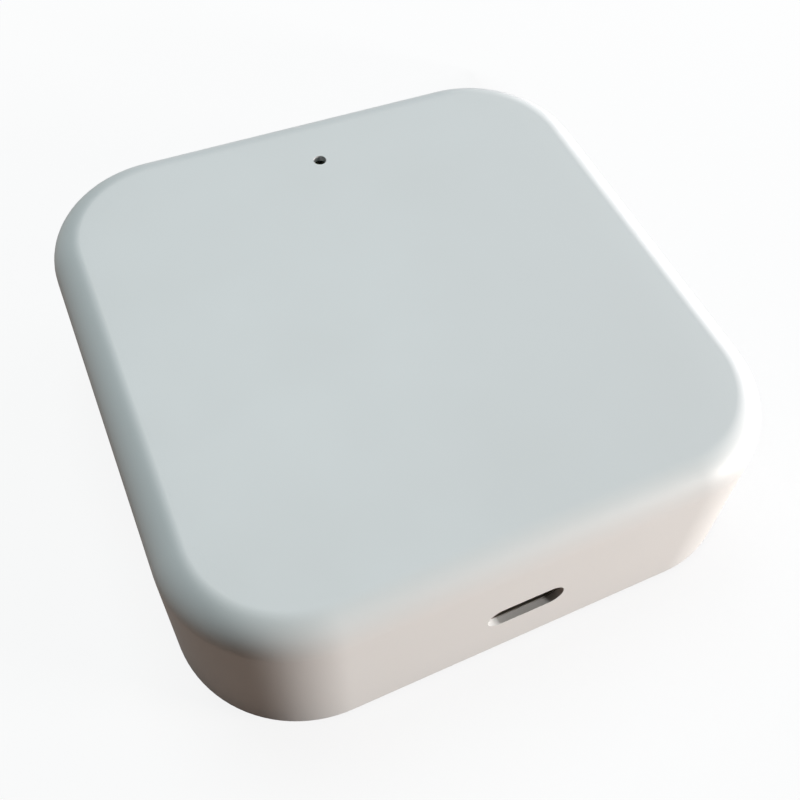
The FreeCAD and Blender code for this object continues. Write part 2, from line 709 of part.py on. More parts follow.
def usb_receptacle_shell():
    """The bent steel sleeve of the socket with four legs through the board."""
    body = new_body("usb_receptacle_shell", y=f"-{SOCKET_MOUTH}", level="Sizes.port_level")
    sleeve = new_sketch(body, "sleeve_outline", "XZ_Plane")
    stadium(sleeve, "Sizes.socket_width", "Sizes.socket_height")
    bore = "2 * Sizes.socket_sheet"
    stadium(sleeve, f"Sizes.socket_width - {bore}", f"Sizes.socket_height - {bore}")
    pad(sleeve, "sleeve", "Sizes.socket_depth", backwards=True)
    setback = "Sizes.socket_depth - Sizes.socket_leg_setback - Sizes.socket_leg_pitch"
    leg = new_sketch(body, "leg_outline", "XZ_Plane", f"-({setback})")
    low = "-Sizes.socket_height / 2 - Sizes.board_thickness - Sizes.socket_leg_drop"
    rectangle(leg, "Sizes.socket_width / 2 - Sizes.socket_sheet", "Sizes.socket_width / 2", low, "0")
    first = pad(leg, "leg", "Sizes.socket_leg_width", centred=True)
    repeat(body, "legs", [first], LEFT_RIGHT, row_along("Y_Axis", "Sizes.socket_leg_pitch", "2"))


def usb_receptacle_insulator():
    """The moulded block in the socket with the tongue that a plug slides over."""
    body = new_body("usb_receptacle_insulator", y=f"-{SOCKET_MOUTH}", level="Sizes.port_level")
    bore = "2 * Sizes.socket_sheet"
    block_start = "Sizes.socket_depth - Sizes.socket_block_depth"
    block = new_sketch(body, "block_outline", "XZ_Plane", f"-({block_start})")
    stadium(block, f"Sizes.socket_width - {bore}", f"Sizes.socket_height - {bore}")
    pad(block, "block", "Sizes.socket_block_depth", backwards=True)
    tongue = new_sketch(body, "tongue_outline", "XZ_Plane", "-Sizes.tongue_setback")
    centred_rectangle(tongue, "Sizes.tongue_width", "Sizes.tongue_thickness")
    pad(tongue, "tongue", f"{block_start} - Sizes.tongue_setback", backwards=True)


def usb_contacts():
    """Two rows of spring contacts on the faces of the tongue."""
    start = "Sizes.tongue_setback + Sizes.contact_width"
    body = new_body("usb_contacts", y=f"-{SOCKET_MOUTH} + {start}", level="Sizes.port_level")
    strip = new_sketch(body, "strip_outline", offset="Sizes.tongue_thickness / 2")
    left = "(-(Sizes.contact_count - 1) / 2 * Sizes.contact_pitch - Sizes.contact_width / 2)"
    rectangle(strip, left, f"{left} + Sizes.contact_width", "0", "Sizes.contact_length")
    first = pad(strip, "strip", "Sizes.contact_thickness")
    row = row_along("X_Axis", "Sizes.contact_pitch", "Sizes.contact_count")
    repeat(body, "rows", [first], row, mirror("XY_Plane"))


def block_part(label, x, y, level, width, depth, height, taper="0"):
    """A moulded, sawn or ceramic block standing on its carrier."""
    body = new_body(label, x, y, level)
    outline = new_sketch(body, "outline")
    centred_rectangle(outline, width, depth)
    pad(outline, "block", height, taper=taper)
    return body


def module_board(label, x, length, width, pads, first_pad):
    """A small radio board with a row of half-round solder pads along each long edge."""
    body = new_body(label, x, level=BOARD_TOP)
    outline = new_sketch(body, "outline")
    centred_rectangle(outline, length, width)
    pad(outline, "plate", "Sizes.module_thickness")
    notch = new_sketch(body, "pad_circle")
    circle(notch, "Sizes.pad_diameter", first_pad, f"({width}) / 2")
    cut = pocket(notch, "pad", "Sizes.module_thickness", backwards=True)
    repeat(body, "pads", [cut], row_along("X_Axis", "Sizes.pad_pitch", pads), FRONT_BACK)


def meander_antenna(label, x, fingers, pitch, finger_length, toward):
    """A printed aerial that folds back and forth across the free end of its module."""
    body = new_body(label, x, level=MODULE_TOP)
    width = "Sizes.trace_width"
    start = f"(-({fingers} - 1) / 2 * {pitch})"
    finger = new_sketch(body, "finger_outline")
    centred_rectangle(finger, f"{finger_length}", width, up=start)
    first = pad(finger, "finger", "Sizes.trace_thickness")
    repeat(body, "fingers", [first], row_along("Y_Axis", pitch, fingers))
    for name, side, begin, count in (
        ("outer", toward, start, f"floor({fingers} / 2)"),
        ("inner", -toward, f"{start} + {pitch}", f"floor(({fingers} - 1) / 2)"),
    ):
        link = new_sketch(body, f"{name}_link_outline")
        link_x = f"{side} * ({finger_length} - {width}) / 2"
        centred_rectangle(link, width, f"{pitch} + {width}", link_x, f"{begin} + {pitch} / 2")
        first_link = pad(link, f"{name}_link", "Sizes.trace_thickness")
        repeat(body, f"{name}_links", [first_link], row_along("Y_Axis", f"2 * {pitch}", count))


def shield_can():
    """The pressed metal can, open below, over the network module's chips."""
    can = new_body("wifi_shield_can", SHIELD_X, level=MODULE_TOP)
    half_length, half_width = "Sizes.shield_length / 2", "Sizes.shield_width / 2"
    outline = new_sketch(can, "outline")
    rounded_rectangle(outline, half_length, half_width, "Sizes.shield_round")
    pad(outline, "block", "Sizes.shield_height")
    dress("Fillet", can, "edge_round", "Sizes.shield_round", edge_at("Sizes.shield_height"))
    skin = "Sizes.shield_sheet"
    inner_round, ceiling = f"Sizes.shield_round - {skin}", f"Sizes.shield_height - {skin}"
    inside = new_sketch(can, "inside_outline")
    rounded_rectangle(inside, f"{half_length} - {skin}", f"{half_width} - {skin}", inner_round)
    pocket(inside, "inside", ceiling, backwards=True)
    dress("Fillet", can, "inside_round", inner_round, edge_at(ceiling))


def wifi_module():
    """The shielded network module: board, can, chips and aerial."""
    length, pads = "Sizes.wifi_length", "Sizes.wifi_pad_count"
    first_pad = f"{length} / 2 - Sizes.pad_start - ({pads} - 1) * Sizes.pad_pitch"
    module_board("wifi_module_board", WIFI_X, length, "Sizes.wifi_width", pads, first_pad)
    shield_can()
    chip_x = f"{SHIELD_X} - Sizes.wifi_chip_side / 2 - Sizes.part_gap / 2"
    side = "Sizes.wifi_chip_side"
    block_part("wifi_chip", chip_x, "0", MODULE_TOP, side, side, "Sizes.wifi_chip_height")
    memory_x = f"{SHIELD_X} + Sizes.memory_width / 2 + Sizes.part_gap / 2"
    memory = ("Sizes.memory_width", "Sizes.memory_length", "Sizes.memory_height")
    memory_y = "Sizes.memory_length / 2"
    block_part("memory_chip", memory_x, memory_y, MODULE_TOP, *memory, taper="-Sizes.body_draft")
    crystal_y = "-(Sizes.crystal_width / 2 + Sizes.part_gap)"
    crystal = ("Sizes.crystal_length", "Sizes.crystal_width", "Sizes.crystal_height")
    block_part("wifi_crystal", memory_x, crystal_y, MODULE_TOP, *crystal)
    outer_end = f"{WIFI_X} - Sizes.wifi_length / 2 + Sizes.antenna_edge_gap"
    finger = "Sizes.wifi_antenna_finger"
    folds = ("Sizes.wifi_antenna_fingers", "Sizes.wifi_antenna_pitch", finger)
    meander_antenna("wifi_antenna", f"{outer_end} + {finger} / 2", *folds, -1)


def radio_module():
    """The open short-range radio module that talks to the lock."""
    length, width = "Sizes.radio_length", "Sizes.radio_width"
    first_pad = f"Sizes.pad_start - {length} / 2"
    module_board("radio_module_board", RADIO_X, length, width, "Sizes.radio_pad_count", first_pad)
    inner_end = f"({RADIO_X} - {length} / 2)"
    side = "Sizes.radio_chip_side"
    chip_x = f"{inner_end} + Sizes.part_gap + {side} / 2"
    chip_y = f"({width} / 2 - Sizes.part_gap - {side} / 2)"
    block_part("radio_chip", chip_x, chip_y, MODULE_TOP, side, side, "Sizes.radio_chip_height")
    crystal_x = f"{inner_end} + Sizes.part_gap + Sizes.crystal_length / 2"
    crystal_y = f"-({width} / 2 - Sizes.part_gap - Sizes.crystal_width / 2)"
    crystal = ("Sizes.crystal_length", "Sizes.crystal_width", "Sizes.crystal_height")
    block_part("radio_crystal", crystal_x, crystal_y, MODULE_TOP, *crystal)
    finger = "Sizes.radio_antenna_finger"
    folds = ("Sizes.radio_antenna_fingers", "Sizes.radio_antenna_pitch", finger)
    outer_end = f"{RADIO_X} + {length} / 2 - Sizes.antenna_edge_gap"
    meander_antenna("radio_antenna", f"{outer_end} - {finger} / 2", *folds, 1)


def status_light():
    """The lamp under the hole in the roof, the resin in its cup and the clear pipe above it."""
    length, width = "Sizes.lamp_length", "Sizes.lamp_width"
    lamp = block_part("lamp_package", "0", LIGHT_Y, BOARD_TOP, length, width, "Sizes.lamp_height")
    floor_level = "Sizes.lamp_height - Sizes.lamp_cup_depth"
    cup = new_sketch(lamp, "cup_circle", offset=floor_level)
    circle(cup, "Sizes.lamp_cup_diameter")
    pocket(cup, "cup", "Sizes.lamp_cup_depth", backwards=True)
    resin = new_body("lamp_resin", y=LIGHT_Y, level=f"{BOARD_TOP} + {floor_level}")
    fill = new_sketch(resin, "fill_circle")
    circle(fill, "Sizes.lamp_cup_diameter")
    pad(fill, "fill", "Sizes.lamp_cup_depth")
    pipe = new_body("light_pipe", y=LIGHT_Y, level=PIPE_BOTTOM)
    collar = new_sketch(pipe, "collar_circle")
    circle(collar, "Sizes.pipe_collar_diameter")
    pad(collar, "collar", "Sizes.pipe_collar_height")
    rod = new_sketch(pipe, "rod_circle")
    circle(rod, "Sizes.pipe_diameter")
    top = "Sizes.shell_height - Sizes.light_skin - Sizes.pipe_end_gap"
    pad(rod, "rod", f"{top} - {PIPE_BOTTOM}")


def bent_lead(body, name, side, start, offset, width):
    """One lead that leaves a moulded body, steps down and lies on the board."""
    end = f"({start} + Sizes.lead_run)"
    thick = "Sizes.lead_thickness"
    corners = [
        (start, f"Sizes.lead_level - {thick} / 2"),
        (end, f"Sizes.lead_level - {thick} / 2"),
        (end, "0"),
        (f"({end} + {thick} + Sizes.lead_foot)", "0"),
        (f"({end} + {thick} + Sizes.lead_foot)", thick),
        (f"({end} + {thick})", thick),
        (f"({end} + {thick})", f"Sizes.lead_level + {thick} / 2"),
        (start, f"Sizes.lead_level + {thick} / 2"),
    ]
    outline = new_sketch(body, f"{name}_outline", "YZ_Plane", offset)
    polygon(outline, [(f"{side}{across}", up) for across, up in corners])
    return pad(outline, name, width, centred=True)


def regulator():
    """The voltage regulator: a moulded body, three leads on one side and a wide tab on the other."""
    place = ("-Sizes.regulator_offset", SUPPLY_Y, BOARD_TOP)
    size = ("Sizes.regulator_length", "Sizes.regulator_width", "Sizes.regulator_height")
    block_part("regulator_body", *place, *size, taper="-Sizes.body_draft")
    leads = new_body("regulator_leads", *place)
    slope = "(Sizes.lead_level - Sizes.lead_thickness / 2) * tan(Sizes.body_draft)"
    half = f"(Sizes.regulator_width / 2 - {slope})"
    bent_lead(leads, "tab", "-", half, "0", "Sizes.regulator_tab")
    lead = bent_lead(leads, "lead", "", half, "-Sizes.lead_pitch", "Sizes.lead_width")
    repeat(leads, "three_leads", [lead], row_along("X_Axis", "Sizes.lead_pitch", "3"))


def reservoir_capacitor():
    """The round reservoir capacitor: an aluminium can on a plastic base with two cut corners."""
    place = ("Sizes.reservoir_offset", SUPPLY_Y)
    base = new_body("reservoir_base", *place, BOARD_TOP)
    outline = new_sketch(base, "outline")
    half, cut = "(Sizes.reservoir_base_side / 2)", "Sizes.reservoir_base_corner"
    corners = [
        (f"-{half}", f"-{half}"),
        (f"{half}", f"-{half}"),
        (f"{half}", f"{half} - {cut}"),
        (f"{half} - {cut}", f"{half}"),
        (f"-{half} + {cut}", f"{half}"),
        (f"-{half}", f"{half} - {cut}"),
    ]
    polygon(outline, corners)
    pad(outline, "plate", "Sizes.reservoir_base_height")
    can = new_body("reservoir_can", *place, f"{BOARD_TOP} + Sizes.reservoir_base_height")
    profile = new_sketch(can, "profile", "XZ_Plane")
    side, groove = "Sizes.reservoir_diameter / 2", "Sizes.reservoir_groove"
    level = "Sizes.reservoir_groove_level"
    polygon(
        profile,
        [
            ("0", "0"),
            (side, "0"),
            (side, f"{level} - {groove}"),
            (f"{side} - {groove}", level),
            (side, f"{level} + {groove}"),
            (side, "Sizes.reservoir_height - Sizes.reservoir_edge"),
            (f"{side} - Sizes.reservoir_edge", "Sizes.reservoir_height"),
            ("0", "Sizes.reservoir_height"),
        ],
    )
    turn = can.newObject("PartDesign::Revolution", "reservoir_can_turn")
    turn.Profile = profile
    turn.ReferenceAxis = (datum(can, "Z_Axis"), [""])
    turn.Angle = 360


def protection():
    """The resettable fuse and the surge diode between the socket and the regulator."""
    fuse = ("Sizes.fuse_length", "Sizes.fuse_width", "Sizes.fuse_height")
    block_part("input_fuse", "-Sizes.fuse_offset", SUPPLY_Y, BOARD_TOP, *fuse)
    surge = ("Sizes.surge_length", "Sizes.surge_width", "Sizes.surge_height")
    place = ("Sizes.surge_offset", SUPPLY_Y, BOARD_TOP)
    block_part("surge_diode_body", *place, *surge, taper="-Sizes.body_draft")
    leads = new_body("surge_diode_leads", *place)
    outline = new_sketch(leads, "foot_outline")
    rectangle(
        outline,
        "Sizes.surge_length / 2",
        "Sizes.surge_length / 2 + Sizes.lead_thickness",
        "-Sizes.surge_lead_width / 2",
        "Sizes.surge_lead_width / 2",
    )
    strap = pad(outline, "strap", "Sizes.surge_height / 2")
    repeat(leads, "straps", [strap], LEFT_RIGHT)


def chip_row(label, x, y, height):
    """A row of small two-ended parts across the board."""
    body = new_body(label, x, y, BOARD_TOP)
    outline = new_sketch(body, "outline")
    start = "-(Sizes.chip_count - 1) / 2 * Sizes.chip_pitch"
    centred_rectangle(outline, "Sizes.chip_length", "Sizes.chip_width", up=start)
    first = pad(outline, "chip", height)
    repeat(body, "chips", [first], row_along("Y_Axis", "Sizes.chip_pitch", "Sizes.chip_count"))


def small_parts():
    """The rows of ceramic capacitors and resistors beside the two modules."""
    gap = "(Sizes.part_gap + Sizes.chip_length / 2)"
    chip_row("chip_capacitors", f"{WIFI_X} + Sizes.wifi_length / 2 + {gap}", "0", "Sizes.capacitor_height")
    chip_row("chip_resistors", f"{RADIO_X} - Sizes.radio_length / 2 - {gap}", "0", "Sizes.resistor_height")


top_shell()
base_cover()
feet()
board_screws()
circuit_board()
usb_receptacle_shell()
usb_receptacle_insulator()
usb_contacts()
wifi_module()
radio_module()
status_light()
regulator()
reservoir_capacitor()
protection()
small_parts()
doc.recompute()

for item in doc.Objects:
    if "Invalid" in item.State or "Error" in item.State:
        raise RuntimeError(f"{item.Name} failed")
for body in bodies:
    if body.Shape.isNull() or not body.Shape.isValid() or not body.Shape.Solids:
        raise RuntimeError(f"{body.Label} is not a valid solid")

os.makedirs("parts", exist_ok=True)
for body in bodies:
    body.Shape.exportStep(f"parts/{body.Label}.step")
print(f"{len(bodies)} sub-parts written")
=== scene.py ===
import math
from types import SimpleNamespace

import bmesh
import bpy
from mathutils import Matrix, Vector


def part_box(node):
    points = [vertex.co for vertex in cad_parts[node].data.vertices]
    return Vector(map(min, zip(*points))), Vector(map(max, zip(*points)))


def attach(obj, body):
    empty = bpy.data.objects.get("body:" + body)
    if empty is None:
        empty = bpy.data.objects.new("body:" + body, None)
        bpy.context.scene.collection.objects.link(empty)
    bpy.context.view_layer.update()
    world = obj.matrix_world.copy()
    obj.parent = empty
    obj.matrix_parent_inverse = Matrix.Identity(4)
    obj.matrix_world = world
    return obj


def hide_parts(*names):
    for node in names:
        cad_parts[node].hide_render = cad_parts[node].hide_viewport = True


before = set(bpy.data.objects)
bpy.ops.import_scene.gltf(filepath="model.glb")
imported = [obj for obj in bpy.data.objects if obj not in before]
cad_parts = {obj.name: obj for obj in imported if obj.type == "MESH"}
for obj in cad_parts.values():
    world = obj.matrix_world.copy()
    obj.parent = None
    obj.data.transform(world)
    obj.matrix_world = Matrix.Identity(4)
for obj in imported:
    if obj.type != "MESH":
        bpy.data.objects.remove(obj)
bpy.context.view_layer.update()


# Top shell: one deep moulding of matt white plastic, roof and leaning walls together.
# Four webbed screw bosses and the light pipe's tube hang from its roof. The socket slot, the light hole
# and the eight catches for the cover's hooks are cored out by the mould, whose skin was spark-eroded.
MM = 0.001
QUARTER = math.pi / 2


class Size:
    """A size inside a node tree. A sum of sizes becomes a Math node."""

    def __init__(self, tree, socket):
        self.tree = tree
        self.socket = socket

    def math(self, operation, *terms):
        node = add(self.tree, "ShaderNodeMath", dict(enumerate((self, *terms))), operation=operation)
        return Size(self.tree, node.outputs[0])

    def __add__(self, other):
        return self.math("ADD", other)

    def __sub__(self, other):
        return self.math("SUBTRACT", other)

    def __mul__(self, other):
        return self.math("MULTIPLY", other)

    def __truediv__(self, other):
        return self.math("DIVIDE", other)

    def __rsub__(self, other):
        return self.math("MULTIPLY_ADD", -1.0, other)

    def __neg__(self):
        return self.math("MULTIPLY", -1.0)


def feed(tree, term, socket):
    """Give an input a fixed value, or link it to a size or to another node's output."""
    if isinstance(term, Size):
        tree.links.new(term.socket, socket)
    elif isinstance(term, bpy.types.NodeSocket):
        tree.links.new(term, socket)
    else:
        socket.default_value = term


def add(tree, kind, inputs=None, **settings):
    """Add a node with its settings, and feed its inputs by name or number."""
    node = tree.nodes.new(kind)
    for name, setting in settings.items():
        setattr(node, name, setting)
    for name, term in (inputs or {}).items():
        feed(tree, term, node.inputs[name])
    return node


def group_socket(group, name, direction, kind, default=None):
    """Add a named input or output to a node group."""
    made = group.interface.new_socket(name, in_out=direction, socket_type=f"NodeSocket{kind}")
    if default is not None:
        made.default_value = default


def growth(name, finishes=("finish",), **sizes):
    """Start a tree that makes one piece, with a named input for each of its sizes and finishes."""
    tree = bpy.data.node_groups.new(name, "GeometryNodeTree")
    group_socket(tree, "piece", "OUTPUT", "Geometry")
    for label, size in sizes.items():
        kind = {int: "Int", float: "Float", tuple: "Vector"}[type(size)]
        group_socket(tree, label, "INPUT", kind, size)
    for finish in finishes:
        group_socket(tree, finish, "INPUT", "Material")
    given = tree.nodes.new("NodeGroupInput")
    return tree, SimpleNamespace(**{label: Size(tree, given.outputs[label]) for label in sizes})


def end_growth(tree, shape, **other_finishes):
    """End a tree: copies become real and get the finish. Another finish goes on the faces given for it."""
    given = tree.nodes.new("NodeGroupInput").outputs
    dressed = add(tree, "GeometryNodeRealizeInstances", {0: shape}).outputs[0]
    for finish, faces in {"finish": True, **other_finishes}.items():
        inputs = {"Geometry": dressed, "Selection": faces, "Material": given[finish]}
        dressed = add(tree, "GeometryNodeSetMaterial", inputs).outputs[0]
    add(tree, "NodeGroupOutput", {0: dressed})


def grown(tree, **inputs):
    """Run a tree with its finishes and changed sizes, and return the plain mesh that it makes."""
    bare = bpy.data.objects.new("growing", bpy.data.meshes.new("growing"))
    bpy.context.scene.collection.objects.link(bare)
    modifier = bare.modifiers.new("growth", "NODES")
    modifier.node_group = tree
    for item in tree.interface.items_tree:
        if item.in_out == "INPUT" and item.name in inputs:
            modifier[item.identifier] = inputs[item.name]
    whole = bpy.data.meshes.new_from_object(bare.evaluated_get(bpy.context.evaluated_depsgraph_get()))
    bpy.data.objects.remove(bare)
    return whole


def vector(tree, *sizes):
    """Make a place or a side length out of three sizes."""
    return add(tree, "ShaderNodeCombineXYZ", dict(enumerate(sizes))).outputs[0]


def moved(tree, shape, place=(0.0, 0.0, 0.0), turn=(0.0, 0.0, 0.0)):
    """Turn a shape about the axes and shift it to a place."""
    if isinstance(place, tuple):
        place = vector(tree, *place)
    inputs = {"Geometry": shape, "Translation": place, "Rotation": turn}
    return add(tree, "GeometryNodeTransform", inputs).outputs[0]


def together(tree, *parts):
    """Join parts without cutting them."""
    joined = add(tree, "GeometryNodeJoinGeometry")
    for part in parts:
        feed(tree, part, joined.inputs[0])
    return joined.outputs[0]


SAME_POINT = 0.001 * MM


def welded(tree, shape):
    """Merge the points that lie on each other."""
    return add(tree, "GeometryNodeMergeByDistance", {"Geometry": shape, "Distance": SAME_POINT}).outputs[0]


def fused(tree, *parts):
    """Melt overlapping solids into one."""
    node = add(tree, "GeometryNodeMeshBoolean", operation="UNION", solver="EXACT")
    for part in parts:
        feed(tree, part, node.inputs["Mesh 2"])
    return node.outputs[0]


def cored(tree, body, *cores):
    """Cut cores out of a solid."""
    node = add(tree, "GeometryNodeMeshBoolean", {"Mesh 1": body}, operation="DIFFERENCE", solver="EXACT")
    for core in cores:
        feed(tree, core, node.inputs["Mesh 2"])
    return node.outputs[0]


def by_index(tree, kind, choices):
    """Give each point of a line its own choice, in their order."""
    switch = add(tree, "GeometryNodeIndexSwitch", data_type=kind)
    for _ in choices[2:]:
        switch.index_switch_items.new()
    feed(tree, add(tree, "GeometryNodeInputIndex").outputs[0], switch.inputs["Index"])
    for socket, choice in zip(list(switch.inputs)[1:], choices):
        feed(tree, choice, socket)
    return switch.outputs[0]


def line_through(tree, corners, closed=True):
    """Make a line through corners, each a pair of sizes, across and up."""
    places = by_index(tree, "VECTOR", [vector(tree, *corner) for corner in corners])
    row = add(tree, "GeometryNodeMeshLine", {"Count": len(corners)}).outputs[0]
    placed = add(tree, "GeometryNodeSetPosition", {"Geometry": row, "Position": places}).outputs[0]
    line = add(tree, "GeometryNodeMeshToCurve", {"Mesh": placed}).outputs[0]
    return add(tree, "GeometryNodeSetSplineCyclic", {"Geometry": line, "Cyclic": closed}).outputs[0]


def rounded(tree, line, radius, steps):
    """Round the corners of a line."""
    inputs = {"Curve": line, "Radius": radius, "Count": steps}
    return add(tree, "GeometryNodeFilletCurve", inputs, mode="POLY").outputs[0]


def rounded_frame(tree, width, depth, radius, steps):
    """Make a rectangle with round corners about the middle."""
    inputs = {"Width": width, "Height": depth}
    square = add(tree, "GeometryNodeCurvePrimitiveQuadrilateral", inputs).outputs[0]
    return rounded(tree, square, radius, steps)


def swept(tree, path, section, caps=False):
    """Sweep a section along a flat path. The section is given inwards from the path, and upwards."""
    upright = moved(tree, section, turn=(0.0, 0.0, math.pi))
    inputs = {"Curve": path, "Profile Curve": upright, "Fill Caps": caps}
    return add(tree, "GeometryNodeCurveToMesh", inputs).outputs[0]


def slab(tree, outline, thickness):
    """Give a closed outline a thickness, half to each side of its plane."""
    ends = [vector(tree, 0.0, 0.0, thickness * share) for share in (-0.5, 0.5)]
    rise = add(tree, "GeometryNodeCurvePrimitiveLine", {"Start": ends[0], "End": ends[1]}).outputs[0]
    inputs = {"Curve": rise, "Profile Curve": outline, "Fill Caps": True}
    return add(tree, "GeometryNodeCurveToMesh", inputs).outputs[0]


def block(tree, width, depth, height, place=(0.0, 0.0, 0.0)):
    """Make a square block about a place."""
    cube = add(tree, "GeometryNodeMeshCube", {"Size": vector(tree, width, depth, height)}).outputs[0]
    return moved(tree, cube, place)


def round_bar(tree, diameter, height, place, top_diameter=None):
    """Stand a round bar on a place. It may widen or narrow to its top."""
    inputs = {"Vertices": 48, "Radius Bottom": diameter / 2.0, "Depth": height}
    inputs["Radius Top"] = (top_diameter or diameter) / 2.0
    return moved(tree, add(tree, "GeometryNodeMeshCone", inputs).outputs[0], place)


def at_corners(tree, part, across, along):
    """Stand copies of a part at the four corners of a field, given as distances from its middle."""
    inputs = {"Size X": across * 2.0, "Size Y": along * 2.0, "Vertices X": 2, "Vertices Y": 2}
    field = add(tree, "GeometryNodeMeshGrid", inputs).outputs[0]
    copies = add(tree, "GeometryNodeInstanceOnPoints", {"Points": field, "Instance": part}).outputs[0]
    return add(tree, "GeometryNodeRealizeInstances", {0: copies}).outputs[0]


def texture_scale(group, size):
    """Turn the size of a pattern into the scale of its texture."""
    return add(group, "ShaderNodeMath", {0: 1.0, 1: size}, operation="DIVIDE").outputs[0]


def mould_grain_group():
    """Eroded mould grain: small pits in the skin, a broad uneven gloss and a few dark flecks."""
    group = bpy.data.node_groups.new("mould_grain", "ShaderNodeTree")
    group_socket(group, "Position", "INPUT", "Vector")
    group_socket(group, "Grain Size", "INPUT", "Float", 0.3 * MM)
    group_socket(group, "Patch Size", "INPUT", "Float", 14 * MM)
    group_socket(group, "Fleck Spacing", "INPUT", "Float", 16 * MM)
    for name in ("Height", "Patches", "Flecks"):
        group_socket(group, name, "OUTPUT", "Float")
    given = group.nodes.new("NodeGroupInput").outputs
    place = given["Position"]
    grain_scale, patch_scale, fleck_scale = [
        texture_scale(group, given[name]) for name in ("Grain Size", "Patch Size", "Fleck Spacing")
    ]
    pits = {"Vector": place, "Scale": grain_scale, "Detail": 3, "Roughness": 0.6}
    grain = add(group, "ShaderNodeTexNoise", pits)
    patches = add(group, "ShaderNodeTexNoise", {"Vector": place, "Scale": patch_scale, "Detail": 2})
    flecks = add(group, "ShaderNodeTexVoronoi", {"Vector": place, "Scale": fleck_scale})
    fleck_edge = {"Value": flecks.outputs["Distance"], "From Min": 0.012, "From Max": 0.006}
    near = add(group, "ShaderNodeMapRange", fleck_edge, interpolation_type="SMOOTHSTEP")
    result = {"Height": grain.outputs["Fac"], "Patches": patches.outputs["Fac"], "Flecks": near.outputs[0]}
    add(group, "NodeGroupOutput", result)
    return group


MOULD_GRAIN = mould_grain_group()


def principled(name, colour, roughness, metallic=0.0):
    """Start a material whose surface detail is linked to it afterwards."""
    made = bpy.data.materials.new(name)
    made.use_nodes = True
    surface = made.node_tree.nodes["Principled BSDF"]
    surface.inputs["Base Color"].default_value = (*colour, 1)
    surface.inputs["Roughness"].default_value = roughness
    surface.inputs["Metallic"].default_value = metallic
    return made, made.node_tree, surface


def effect(tree, group, **numbers):
    """Place a shared effect in a material, on the position on the piece in metres, with its own numbers."""
    node = add(tree, "ShaderNodeGroup", node_tree=group)
    feed(tree, add(tree, "ShaderNodeTexCoord").outputs["Object"], node.inputs["Position"])
    for name, number in numbers.items():
        feed(tree, number, node.inputs[name.replace("_", " ").title()])
    return node.outputs


def between(tree, mask, low, high):
    """Make a number that goes from low to high with a mask."""
    return add(tree, "ShaderNodeMapRange", {"Value": mask, "To Min": low, "To Max": high}).outputs["Result"]


def mix_colours(tree, mask, first, second):
    """Make a colour that goes from the first to the second with a mask."""
    mix = add(tree, "ShaderNodeMix", {"Factor": mask}, data_type="RGBA")
    for name, colour in (("A_Color", first), ("B_Color", second)):
        end = next(item for item in mix.inputs if item.identifier == name)
        feed(tree, (*colour, 1) if isinstance(colour, tuple) else colour, end)
    return next(item for item in mix.outputs if item.identifier == "Result_Color")


def relief(tree, surface, height, strength, depth=0.02 * MM):
    """Raise a surface by a height pattern."""
    bump = add(tree, "ShaderNodeBump", {"Height": height, "Strength": strength, "Distance": depth})
    feed(tree, bump.outputs["Normal"], surface.inputs["Normal"])


def moulded(name, colour, second, roughness, grain=0.28 * MM, strength=0.12, fleck=None):
    """Matt moulded plastic or rubber with the shared grain, uneven by a shade."""
    made, tree, surface = principled(name, colour, roughness)
    skin = effect(tree, MOULD_GRAIN, grain_size=grain)
    shade = mix_colours(tree, skin["Patches"], colour, second)
    if fleck:
        shade = mix_colours(tree, skin["Flecks"], shade, fleck)
    feed(tree, shade, surface.inputs["Base Color"])
    gloss = between(tree, skin["Patches"], roughness - 0.05, roughness + 0.05)
    feed(tree, gloss, surface.inputs["Roughness"])
    relief(tree, surface, skin["Height"], strength)
    return made


SHARP_EDGE = math.radians(35)


def stand_in(node, shape, edge=0.0):
    """Stand a shape in a node's place, evenly shaded. Its sharp edges stay sharp or get a small round."""
    shape.shade_smooth()
    raw = bpy.data.objects.new(f"{node}_raw", shape)
    bpy.context.scene.collection.objects.link(raw)
    if edge:
        rounding = raw.modifiers.new("rounded_edges", "BEVEL")
        rounding.width = edge
        rounding.segments = 3
        rounding.limit_method = "ANGLE"
        rounding.angle_limit = SHARP_EDGE
        rounding.miter_outer = "MITER_ARC"
        raw.modifiers.new("even_shading", "WEIGHTED_NORMAL").weight = 100
    else:
        shape.set_sharp_from_angle(angle=SHARP_EDGE)
    whole = bpy.data.meshes.new_from_object(raw.evaluated_get(bpy.context.evaluated_depsgraph_get()))
    bpy.data.objects.remove(raw)
    piece = bpy.data.objects.new(f"{node}_piece", whole)
    bpy.context.scene.collection.objects.link(piece)
    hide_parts(node)
    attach(piece, "root")


def box_of(node):
    """Where a node stands: the middle of its box's foot, the box's own middle, and its sides."""
    low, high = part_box(node)
    middle = (low + high) / 2
    return SimpleNamespace(foot=(middle.x, middle.y, low.z), middle=tuple(middle), sides=high - low)


WHITE = moulded("white_plastic", (0.80, 0.81, 0.80), (0.77, 0.775, 0.76), 0.5, fleck=(0.45, 0.45, 0.43))


def lean(size, level):
    """How far the shell's walls lean in at a level above the rim."""
    return level * size.draft.math("TANGENT")


